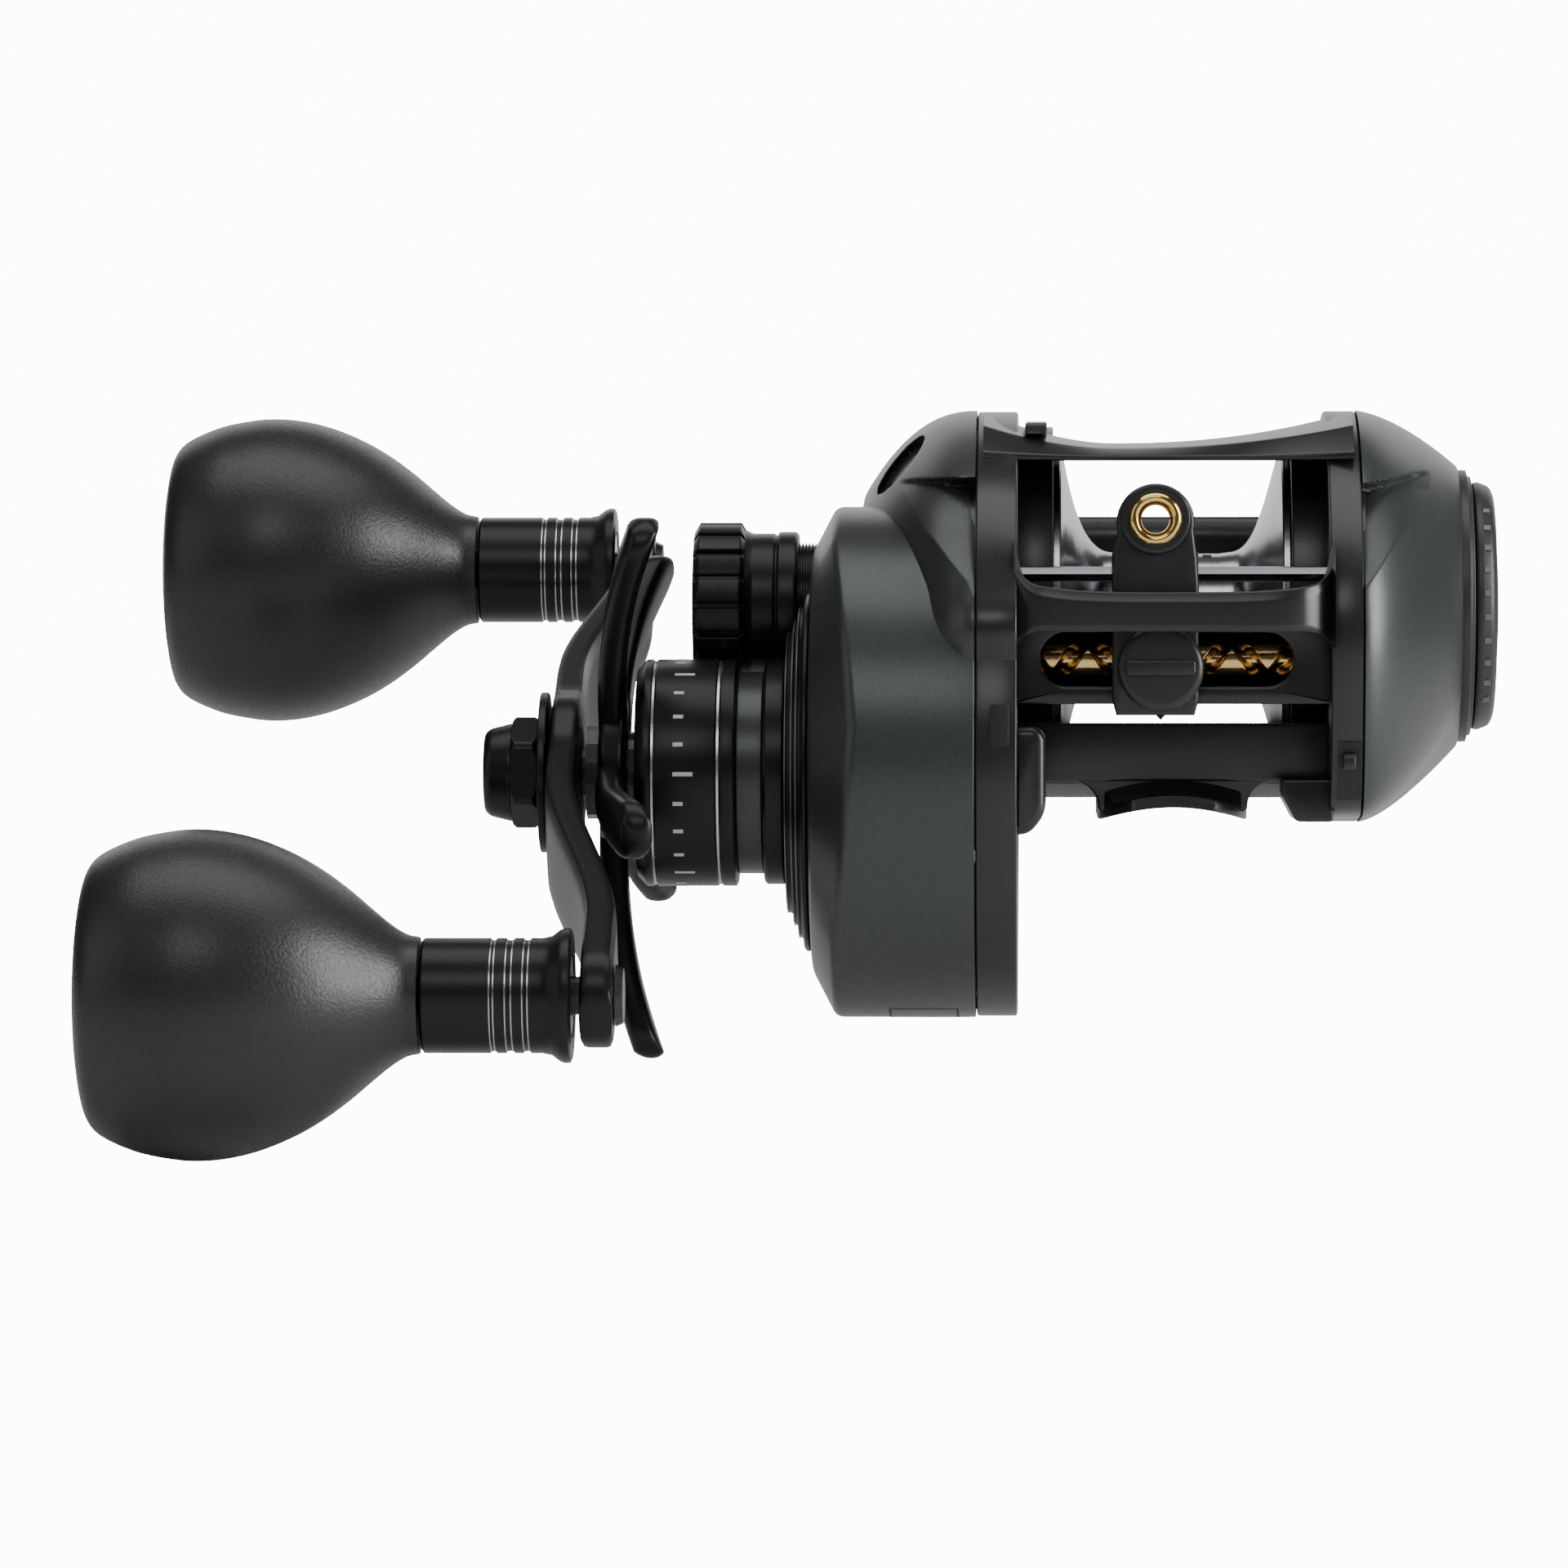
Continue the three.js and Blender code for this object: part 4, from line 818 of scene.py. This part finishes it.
def ring_plate(outer, inner, low, high, radius=0.4, along="x"):
    """A plate with one opening and rounded edges; both outlines have the same number of points."""
    rows = [stand_up(section, level, along) for section, level in rounded_rows(outer, low, high, radius)]
    for face, inward, angles in ((high, -1, np.linspace(0, math.pi / 2, 4)),
                                 (low, 1, np.linspace(math.pi / 2, 0, 4))):
        for a in angles:
            opening = inset_outline(inner, -radius * (1 - math.sin(a)))
            rows.append(stand_up(opening, face + inward * radius * (1 - math.cos(a)), along))
    rows = np.stack(rows)
    return rows, grid_faces(len(rows), len(outer), wrap_rows=True)


def rounded_polygon(points, radius, steps=5):
    """A closed polygon with every corner replaced by an arc of up to the given radius."""
    points = [tuple(p) for p in points]
    line = soften([points[-1], *points, points[0]], radius, steps)
    return line[1:-1]


def polar_radius(outline, centre, angle):
    """How far the outline lies from the centre at each angle."""
    offset = outline - np.asarray(centre)
    own = np.arctan2(offset[:, 1], offset[:, 0]) % (2 * math.pi)
    order = np.argsort(own)
    return np.interp(angle, own[order], np.hypot(offset[:, 0], offset[:, 1])[order], period=2 * math.pi)


plate_centre = (-9.0, 14.0)
plate_angle = np.linspace(0, 2 * math.pi, 360, endpoint=False)
circle_angle = np.linspace(0, 2 * math.pi, 720, endpoint=False)
housing_circle = about(HOUSING, HOUSING_RADIUS, circle_angle)
plate_radius = np.maximum(polar_radius(housing_circle, plate_centre, plate_angle),
                          polar_radius(SHOULDER_OUTLINE, plate_centre, plate_angle))
side_opening = about(SPOOL_AXIS, 20.6, plate_angle)
palm_polar = polar_radius(PALM_OUTLINE, SPOOL_AXIS, plate_angle)
plates = [prism(about(plate_centre, plate_radius - 0.15, plate_angle), -23.38, LEFT_PLATE_INSIDE, 0.35),
          prism(about(plate_centre, plate_radius - 2.6, plate_angle), -24.1, -23.0, 0.2),
          ring_plate(about(SPOOL_AXIS, palm_polar - 0.1, plate_angle), side_opening, RIGHT_PLATE_INSIDE,
                     22.38, 0.35),
          ring_plate(about(SPOOL_AXIS, np.maximum(palm_polar - 2.7, 21.2), plate_angle), side_opening, 22.0,
                     22.9, 0.2)]
# Inside each plate stands a low ring round the spool's flange, which keeps the line from slipping behind it.
for low, high in [(-18.8, -14.25), (14.35, 18.8)]:
    plates.append(ring_plate(about(SPOOL_AXIS, 21.9, plate_angle), about(SPOOL_AXIS, 20.25, plate_angle), low,
                             high, 0.3))
make_piece("frame_side_plates", plates, black_paint, "frame", ["frame"], crease=28)


def bar_along_x(section_at, stations):
    """A bar whose closed (y, z) section is a function of x, with flat ends."""
    rows = np.stack([stand_up(section_at(x), x, "x") for x in stations])
    n = rows.shape[1]
    caps = [list(range(n))[::-1], list(range((len(rows) - 1) * n, len(rows) * n))]
    return rows, grid_faces(len(rows), n).tolist() + caps


def bar_top(x):
    """The height of the top bar's upper edge: lowest left of the middle, rising to both plates."""
    return 43.8 + 3.75 * (abs(x + 7.0) / (15.5 if x < -7 else 28.5)) ** (1.8 if x < -7 else 2.2)


def top_bar_section(x):
    """The top bar: a thin blade in the middle that rises and widens into both plates."""
    side = np.clip((abs(x) - 8.0) / 14.5, 0, 1) ** 2
    top = bar_top(x)
    front = -23.4 - 2.4 * side
    shoulder = 42.9 + (top - 43.8) * 0.72
    return rounded_polygon([(front, 41.3), (front - 0.1, 41.9 + 0.4 * side), (-20.6, shoulder), (-9.2, top),
                            (-8.2, top - 0.9), (-8.6, top - 2.0), (-13.5, 41.6 + 0.4 * side)], 0.5)


def crossbar_section(x):
    """The crossbar: both edges and its front face sweep out in a fillet where it meets the plates."""
    lip = 25.4 + 2.0 * (abs(x) / 19) ** 4 + 4.5 * np.clip((abs(x) - 17.2) / 1.6, 0, 1) ** 2
    foot = 20.9 - 2.0 * np.clip((abs(x) - 15.2) / 3.6, 0, 1) ** 2
    front = -34.3 - 5.6 * (1 - np.sqrt(1 - np.clip((abs(x) - 16.5) / 2.4, 0, 1) ** 2))
    return rounded_polygon([(front + 0.15, foot), (front, foot + 0.5), (front - 0.1, lip - 1.1),
                            (front + 0.45, lip), (-33.1, lip), (-32.9, min(25.4, lip - 0.5)), (-26, 25.4),
                            (-26, 20.9)], 0.3)


def brow_section(x):
    """The brow before the line guide: a thin wall, its ends swept back to the plates."""
    lip = 25.5 + 1.6 * (abs(x) / 19) ** 4 + 1.9 * np.clip((abs(x) - 16.2) / 2.7, 0, 1) ** 2
    foot = 20.8 - 1.2 * np.clip((abs(x) - 15.2) / 3.6, 0, 1) ** 2
    front = -42.0 + (5.4 if x > 0 else 2.0) * (abs(x) / 19) ** 8
    back = front + 1.5 + (0.0 if x > 0 else 3.2) * np.clip((abs(x) - 17.0) / 1.9, 0, 1) ** 2
    return rounded_polygon([(front + 0.25, foot), (front, foot + 0.6), (front - 0.05, lip - 1.2),
                            (front + 0.4, lip), (back, lip), (back, foot)], 0.3)


def arc(centre, radius, start, end, count):
    """Points along a circular arc between two angles in degrees."""
    angle = np.radians(np.linspace(start, end, count))
    return np.column_stack([centre[0] + radius * np.cos(angle), centre[1] + radius * np.sin(angle)])


WORM_AXIS = (-30.0, 17.6)
SLOT_LEFT, SLOT_RIGHT, SLOT_RADIUS = -15.75, 14.1, 3.2
slot_outline = np.concatenate([
    arc((SLOT_RIGHT - SLOT_RADIUS, WORM_AXIS[1]), SLOT_RADIUS, -90, 90, 40),
    arc((SLOT_LEFT + SLOT_RADIUS, WORM_AXIS[1]), SLOT_RADIUS, 90, 270, 40)])
front_outline = np.concatenate([
    np.column_stack([np.full(40, 18.7), np.linspace(12.3, 21.2, 40)]),
    np.column_stack([np.full(40, -18.7), np.linspace(21.2, 12.3, 40)])])
trough = np.concatenate([arc(WORM_AXIS, 3.2, -96, 96, 32),
                         [(-33.4, 20.8), (-33.4, 21.4), (-26, 21.4), (-25.8, 20.9), (-25.8, 12.6),
                          (-26, 12.3), (-33.4, 12.3), (-33.4, 14.4)]])
stations = np.concatenate([np.linspace(-18.9, -15, 16), np.linspace(-14, 14, 30), np.linspace(15, 18.9, 16)])
bars = [bar_along_x(top_bar_section, np.linspace(-22.6, 21.6, 70)),
        bar_along_x(crossbar_section, stations),
        bar_along_x(brow_section, stations),
        ring_plate(front_outline, slot_outline, -34.3, -32.9, 0.35, "y"),
        prism(trough, -18.7, 18.7, 0.0)]
make_piece("frame_bars", bars, black_paint, "frame", crease=35)

tab = rounded_polygon([(-21.5, 44.5), (-20.8, 45.9), (-10.5, 46.4), (-9.8, 44.5)], 0.4)
make_piece("frame_top_tab", [prism(tab, -17.6, -15.0, 0.25)], black_paint, "frame")

lip_outline = rounded_polygon([(-18.7, 3.0), (-18.7, 10.0), (18.7, 10.0), (18.7, 3.0)], 0.6)
floor_outline = rounded_polygon([(-25.2, 2.9), (-25.2, 4.2), (-21, 4.0), (20.4, 3.7), (21.6, 8.4),
                                 (23.4, 8.4), (22, 2.2), (-20, 1.0)], 0.5)
bulge = rounded_polygon([(-19.4, -3.2), (-17.0, -3.0), (-15.1, -0.6), (-15.1, 8.6), (-16.2, 9.7),
                         (-19.4, 9.7)],
                        1.6)
post = rounded_polygon([(13.8, -0.2), (14.6, -1.7), (19.0, -1.7), (19.0, 3.4), (12.8, 3.4), (12.8, 1.6)], 0.5)
saddle = np.concatenate([
    [(-12.6, 3.4), (-12.0, 3.0)], arc((-11.9, 0.0), 3.0, 88, 3, 12), [(-8.9, -0.2), (-8.7, -0.35)],
    arc((0, -24.7), 25.6, 109.5, 70.5, 30),
    [(8.7, -0.35), (8.9, -0.2)], arc((11.9, 0.0), 3.0, 177, 92, 12), [(12.0, 3.0), (12.6, 3.4)],
    [(12.6, 4.2), (-12.6, 4.2)]])
bottom = [prism(floor_outline, -18.7, 18.7, 0.0), prism(lip_outline, -25.9, -23.6, 0.4, "y"),
          prism(bulge, -37.5, -26, 1.1, "y"), prism(post, -30, -8, 0.35, "y"),
          prism(saddle, -25.7, 22.0, 0.3, "y")]
make_piece("frame_floor", bottom, black_paint, "frame", crease=35)

# Painted shade: a near-black block in the front edge of the left side plate and a near-black seat behind the
# latch stand for the shade inside two recesses.
recess = rounded_polygon([(-21.7, 4.8), (-19.4, 4.8), (-19.4, 12.4), (-21.7, 12.4)], 0.6)
front_side = PALM_OUTLINE[PALM_OUTLINE[:, 0] < -28]
seat_z = np.linspace(1.0, 7.9, 10)
seat_y = np.interp(seat_z, np.sort(front_side[:, 1]), front_side[np.argsort(front_side[:, 1]), 0])
seat_section = [(y - 0.05, z) for y, z in zip(seat_y, seat_z)] + [(-31.0, 7.9), (-31.0, 1.0)]
latch_seat = bar_along_x(lambda x: np.array(seat_section), [19.3, 22.1])
make_piece("frame_recess_shade", [prism(recess, -44.58, -43.6, 0.1, "y"), latch_seat],
           joint_and_shade_black, "frame")


# ---------------------------------------------------------------- reel foot
# A forged foot whose underside follows the rod, with tongues that thin towards both ends.
FOOT_HALF_LENGTH = 31.0
FOOT_HALF_WIDTH = 8.95
ARCH_RADIUS = 24.7
FOOT_ROWS = 121
FOOT_COLUMNS = 41

foot_y = FOOT_HALF_LENGTH * np.sin(np.linspace(-math.pi / 2, math.pi / 2, FOOT_ROWS))
foot_width = FOOT_HALF_WIDTH * np.clip(1 - np.clip((np.abs(foot_y) - 19) / 14, 0, 1) ** 2.4, 0, 1) ** 0.5
foot_thickness = 1.4 + 4.2 * (1 - smooth_step(np.abs(foot_y), 22.5, 30.5)) ** 2
foot_rows = []
for y, width, thickness in zip(foot_y, foot_width, foot_thickness):
    across = width * np.sin(np.linspace(-math.pi / 2, math.pi / 2, FOOT_COLUMNS))
    under = np.sqrt(ARCH_RADIUS ** 2 - across ** 2) - ARCH_RADIUS
    edge = 0.3 * np.clip((np.abs(across) / width - 0.97) / 0.03, 0, 1) ** 2
    lower = stand_up(np.column_stack([across, under + edge]), y, "y")
    upper = stand_up(np.column_stack([across, under + thickness - edge]), y, "y")[::-1]
    foot_rows.append(np.concatenate([lower, upper]))
foot_loop = 2 * FOOT_COLUMNS
foot_caps = [list(range(foot_loop))[::-1], list(range((FOOT_ROWS - 1) * foot_loop, FOOT_ROWS * foot_loop))]
make_piece("arched_foot", [(np.stack(foot_rows), grid_faces(FOOT_ROWS, foot_loop).tolist() + foot_caps)],
           black_paint, "frame", ["reel_foot"], crease=45)


# ---------------------------------------------------------------- worm shaft
# A brass shaft with two crossing helical grooves that the pawl follows from end to end and back.
brass = grained_material("machined_brass", (0.80, 0.57, 0.24), (0.70, 0.48, 0.19), 1.0, 0.2, 0.25, 1500.0,
                         12.0)
WORM_LEAD = 8.5
WORM_BARREL = (-17.4, 16.9)
WORM_SIDES = 72
worm_x = np.linspace(*WORM_BARREL, 420)
worm_angle = np.linspace(0, 2 * math.pi, WORM_SIDES, endpoint=False)
grid_x, grid_angle = np.meshgrid(worm_x, worm_angle, indexing="ij")


def groove(sign, offset):
    """Depth from 0 to 1 of a helical groove of that hand at each point; the offset is a share of the lead."""
    phase = (grid_x / WORM_LEAD + sign * grid_angle / (2 * math.pi) + offset) % 1.0
    return 1 - smooth_step(np.abs(phase - 0.5), 0.07, 0.15)


worm_radius = 2.35 - 1.35 * np.maximum(groove(1, 0.442), groove(-1, 0.941)) * (np.abs(grid_x) < 16)
worm_surface = np.stack([grid_x, WORM_AXIS[0] + worm_radius * np.cos(grid_angle),
                         WORM_AXIS[1] + worm_radius * np.sin(grid_angle)], axis=-1)
barrel_ends = [np.broadcast_to(np.array([[x, *WORM_AXIS]]), (1, WORM_SIDES, 3)) for x in WORM_BARREL]
worm_points = np.concatenate([barrel_ends[0], worm_surface, barrel_ends[1]])
journals = [turned([(-27.2, 0), (-27.2, 1.5), (-17.3, 1.5), (-17.3, 0)], WORM_AXIS, 32),
            turned([(16.8, 0), (16.8, 1.5), (21, 1.5), (21, 0)], WORM_AXIS, 32)]
make_piece("levelwind_worm", [(worm_points, grid_faces(len(worm_points), WORM_SIDES))] + journals, brass,
           "worm", ["worm_shaft"], crease=40)


# ---------------------------------------------------------------- line guide
# A black moulded carriage with a gold ring for the line; a screwed cap at its foot keeps the pawl in.
GUIDE_X = -2.2
GUIDE_EYE_Z = 34.1
guide_outline = np.concatenate([
    [(GUIDE_X - 5.1, 11.3), (GUIDE_X - 4.8, 11.0), (GUIDE_X + 4.8, 11.0), (GUIDE_X + 5.1, 11.3),
     (GUIDE_X + 5.1, 26.5), (GUIDE_X + 4.9, 29.5)],
    arc((GUIDE_X, 33.7), 4.6, -12, 192, 40),
    [(GUIDE_X - 4.9, 29.5), (GUIDE_X - 5.1, 26.5)]])
guide_angle = np.linspace(0, 2 * math.pi, 160, endpoint=False)
eye_centre = (GUIDE_X, GUIDE_EYE_Z)
dense_outline = []
for start, finish in zip(guide_outline, np.roll(guide_outline, -1, axis=0)):
    steps = max(1, int(np.linalg.norm(finish - start) / 0.4))
    dense_outline += [start + (finish - start) * t / steps for t in range(steps)]
guide_polar = polar_radius(np.array(dense_outline), eye_centre, guide_angle)
carriage = [ring_plate(about(eye_centre, guide_polar, guide_angle), about(eye_centre, 2.75, guide_angle),
                       -38.2, -34.5, 0.5, "y"),
            ring_plate(about(eye_centre, 4.1, guide_angle), about(eye_centre, 3.0, guide_angle),
                       -38.75, -38.0, 0.25, "y"),
            prism(rounded_polygon([(-34.6, 28.6), (-34.6, 30.3), (-29.2, 30.0), (-29.2, 28.8)], 0.2),
                  GUIDE_X - 5.1, GUIDE_X + 5.1, 0.15),
            prism(rounded_polygon([(-32.6, 28.9), (-29.2, 28.9), (-29.2, 30.0), (-32.6, 30.0)], 0.2),
                  GUIDE_X - 5.1, GUIDE_X + 5.1, 0.15)]
rail_boss = [(GUIDE_X - 5.1, 1.9), (GUIDE_X + 5.1, 1.9), (GUIDE_X + 5.1, 1.1), (GUIDE_X - 5.1, 1.1)]
carriage.append(turned(rail_boss, (-31.0, 27.7), 48, closed=True))
guide_black = grained_material("moulded_black", (0.011, 0.0115, 0.012), (0.015, 0.0155, 0.016), 0.0, 0.33,
                               0.2, 3600.0, 6.0)
make_piece("line_guide_carriage", carriage, guide_black, "guide", ["line_guide"], crease=35)


def turned_along_y(profile, centre, segments=64, closed=True):
    """A [y, radius] profile carried round an axis along Y through centre = (x, z)."""
    points, faces = turned(profile, centre, segments, closed)
    return points[..., [1, 0, 2]], faces


gold = grained_material("polished_gold", (0.95, 0.66, 0.22), (0.90, 0.60, 0.18), 1.0, 0.12, 0.1, 900.0, 3.0)
eyelet_line = soften([(-35.0, 1.75), (-36.5, 1.65), (-38.6, 1.7), (-39.3, 2.2), (-39.35, 2.7), (-38.95, 3.12),
                      (-38.3, 3.12), (-38.3, 2.8), (-34.4, 2.8), (-34.2, 2.3), (-35.0, 1.75)], 0.35, 4)
make_piece("eyelet_ring", [turned_along_y(eyelet_line[:-1], eye_centre)], gold, "guide", ["guide_eyelet"])
cap_x, cap_z = GUIDE_X + 0.6, 16.6
cap_profile = soften([(-38.1, 0), (-38.1, 5.1), (-39.3, 5.1), (-39.8, 4.5), (-39.8, 0)], 0.35)
nub = [(cap_x - 0.7, 11.2), (cap_x, 10.4), (cap_x + 0.7, 11.2)]
grip_bar = rounded_polygon([(cap_x - 4.1, 15.7), (cap_x + 4.1, 15.7), (cap_x + 4.1, 17.5),
                            (cap_x - 4.1, 17.5)],
                           0.5)
make_piece("pawl_retaining_cap", [turned_along_y(cap_profile, (cap_x, cap_z), closed=False),
                                  prism(grip_bar, -40.2, -39.4, 0.25, "y"),
                                  prism(nub, -37.8, -36.2, 0.05, "y")],
           guide_black, "guide", ["pawl_cap"])


# ---------------------------------------------------------------- spool
# Turned from aluminium bar, anodised smoke grey and polished. The row of small holes round the arbor is not
# cut; it is drawn as dark pads of painted shade.
polished_smoke = grained_material("polished_smoke_aluminium", (0.42, 0.43, 0.45), (0.36, 0.37, 0.39), 1.0,
                                  0.24, 0.12, 2400.0, 4.0)
spool_outer = np.concatenate([
    [(-14.3, 18.9), (-14.3, 19.55), (-14.15, 19.7), (-13.5, 19.7), (-13.3, 19.5)],
    smooth_through([(-13.0, 18.2), (-12.4, 15.2), (-11.5, 11.8), (-10.2, 8.8), (-8.4, 6.9), (-6.0, 6.4)], 40),
    smooth_through([(6.0, 6.4), (8.4, 6.9), (10.0, 8.8), (11.2, 11.8), (12.2, 15.2), (13.0, 18.2)], 40),
    [(13.3, 19.5), (13.5, 19.7), (14.15, 19.7), (14.3, 19.55), (14.3, 18.9)]])
spool_inner = [(13.7, 17.0), (12.6, 12.0), (11.0, 8.4), (8.8, 5.2), (8.6, 1.8), (-8.6, 1.8), (-8.8, 5.2),
               (-11.0, 8.4), (-12.8, 12.0), (-13.8, 17.0)]
make_piece("flared_spool", [turned(closed_ring(spool_outer, spool_inner), SPOOL_AXIS, 144, closed=True)],
           polished_smoke, "spool", ["spool"])
# Painted shade: each hole is a thin near-black pad lying on the arbor, standing for the shade inside the
# hole.
hole_shade_black = grained_material("drilled_hole_painted_shade", (0.01, 0.01, 0.01), (0.013, 0.013, 0.013), 0.2, 0.6, 0.1, 2000.0,
                             4.0)
HOLE_HALF_WIDTH = 0.55
HOLE_HALF_ANGLE = 0.085
holes = []
for x in (-4.5, 0.0, 4.5):
    for step in range(10):
        a = 2 * math.pi * (step + (0.5 if x == 0 else 0)) / 10
        holes.append(block_on_cylinder(x - HOLE_HALF_WIDTH, x + HOLE_HALF_WIDTH, a - HOLE_HALF_ANGLE,
                                       a + HOLE_HALF_ANGLE, 6.3, 6.43, SPOOL_AXIS, 4))
make_piece("arbor_holes", holes, hole_shade_black, "spool")


# ---------------------------------------------------------------- thumb bar and release latch
# The clutch bar behind the spool and the side plate's latch are moulded in black.
thumb_outline = rounded_polygon([(20.6, 27), (20.6, 33.4), (21.8, 35.4), (24.2, 35.4), (26.4, 31.8),
                                 (26, 27)], 0.8)
make_piece("clutch_thumb_bar", [prism(thumb_outline, -17.9, 17.9, 0.4)], guide_black, "thumb_bar",
           ["thumb_bar"])
latch_outline = rounded_polygon([(-36.6, 4.6), (-37.0, 5.0), (-37.0, 6.1), (-36.6, 6.5), (-33.0, 6.5),
                                 (-33.0, 4.6)], 0.3)
make_piece("side_plate_latch", [prism(latch_outline, 19.9, 21.4, 0.2)], guide_black, "latch",
           ["release_latch"])


# ---------------------------------------------------------------- clutch yoke springs
# Two coils of round spring wire on the yoke's guide pins, drawn at one length. In the reel the yoke shortens
# them as the thumb bar goes down.
steel = grained_material("ground_steel", (0.58, 0.59, 0.60), (0.50, 0.51, 0.52), 1.0, 0.22, 0.2, 1600.0, 6.0)


def coil_spring(axis, left, right, turns, coil_radius, wire_radius, sides=10, steps_per_turn=28):
    """Circles of wire carried along a helix about an X axis, each in the plane of X and the coil's radius."""
    share = np.linspace(0, 1, turns * steps_per_turn + 1)[:, None]
    coil_angle = 2 * math.pi * turns * share
    wire_angle = np.linspace(0, 2 * math.pi, sides, endpoint=False)[None, :]
    radius = coil_radius + wire_radius * np.cos(wire_angle)
    points = np.stack([left + (right - left) * share + wire_radius * np.sin(wire_angle),
                       axis[0] + radius * np.cos(coil_angle), axis[1] + radius * np.sin(coil_angle)], axis=-1)
    ends = [np.broadcast_to(row.mean(axis=0), (1, sides, 3)) for row in (points[0], points[-1])]
    return np.concatenate([ends[0], points, ends[1]]), grid_faces(len(points) + 2, sides)


SPRING_LEFT, SPRING_RIGHT = -30.5, -26.25
SPRING_RADIUS = 1.9
SPRING_WIRE = 0.25
for place, pin_axis in (("upper", (4.0, 36.1)), ("lower", (12.0, 15.5))):
    coil = coil_spring(pin_axis, SPRING_LEFT, SPRING_RIGHT, 3, SPRING_RADIUS, SPRING_WIRE)
    spring = make_piece(f"clutch_spring_{place}", [coil], steel, "frame", [f"yoke_spring_{place}"])
    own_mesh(spring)


# ---------------------------------------------------------------- small metal parts and the inside
# Screws, bearings, gears and shafts keep their plain shapes and get machined finishes by their record slot.
carbon = grained_material("carbon_drag_felt", (0.02, 0.02, 0.022), (0.035, 0.035, 0.038), 0.0, 0.55, 0.2,
                          1500.0, 30.0)
FINISHES = {"black_paint": black_paint, "green_paint": green_paint, "black_anodised": black_anodised,
            "soft_touch": soft_touch, "black_plastic": guide_black, "steel": steel, "brass": brass,
            "smoke_aluminium": polished_smoke, "carbon": carbon}
rail_steel = grained_material("polished_rail_steel", (0.17, 0.17, 0.18), (0.14, 0.14, 0.15), 1.0, 0.16, 0.1,
                              1600.0, 3.0)
dark_steel = grained_material("blackened_steel", (0.045, 0.045, 0.047), (0.06, 0.06, 0.062), 0.9, 0.3, 0.15,
                              1600.0, 4.0)
SHAFT_FINISH = {"guide_rail": rail_steel, "drive_shaft": dark_steel, "clutch_sleeve": dark_steel,
                "knob_shaft_front": dark_steel, "knob_shaft_rear": dark_steel}
slot_of = {part["node"]: part["material_slot"] for part in frame["record"]["subparts"]}
for node, holder in frame["nodes"].items():
    for material_slot in holder.material_slots:
        material_slot.material = SHAFT_FINISH.get(node, FINISHES[slot_of[node]])
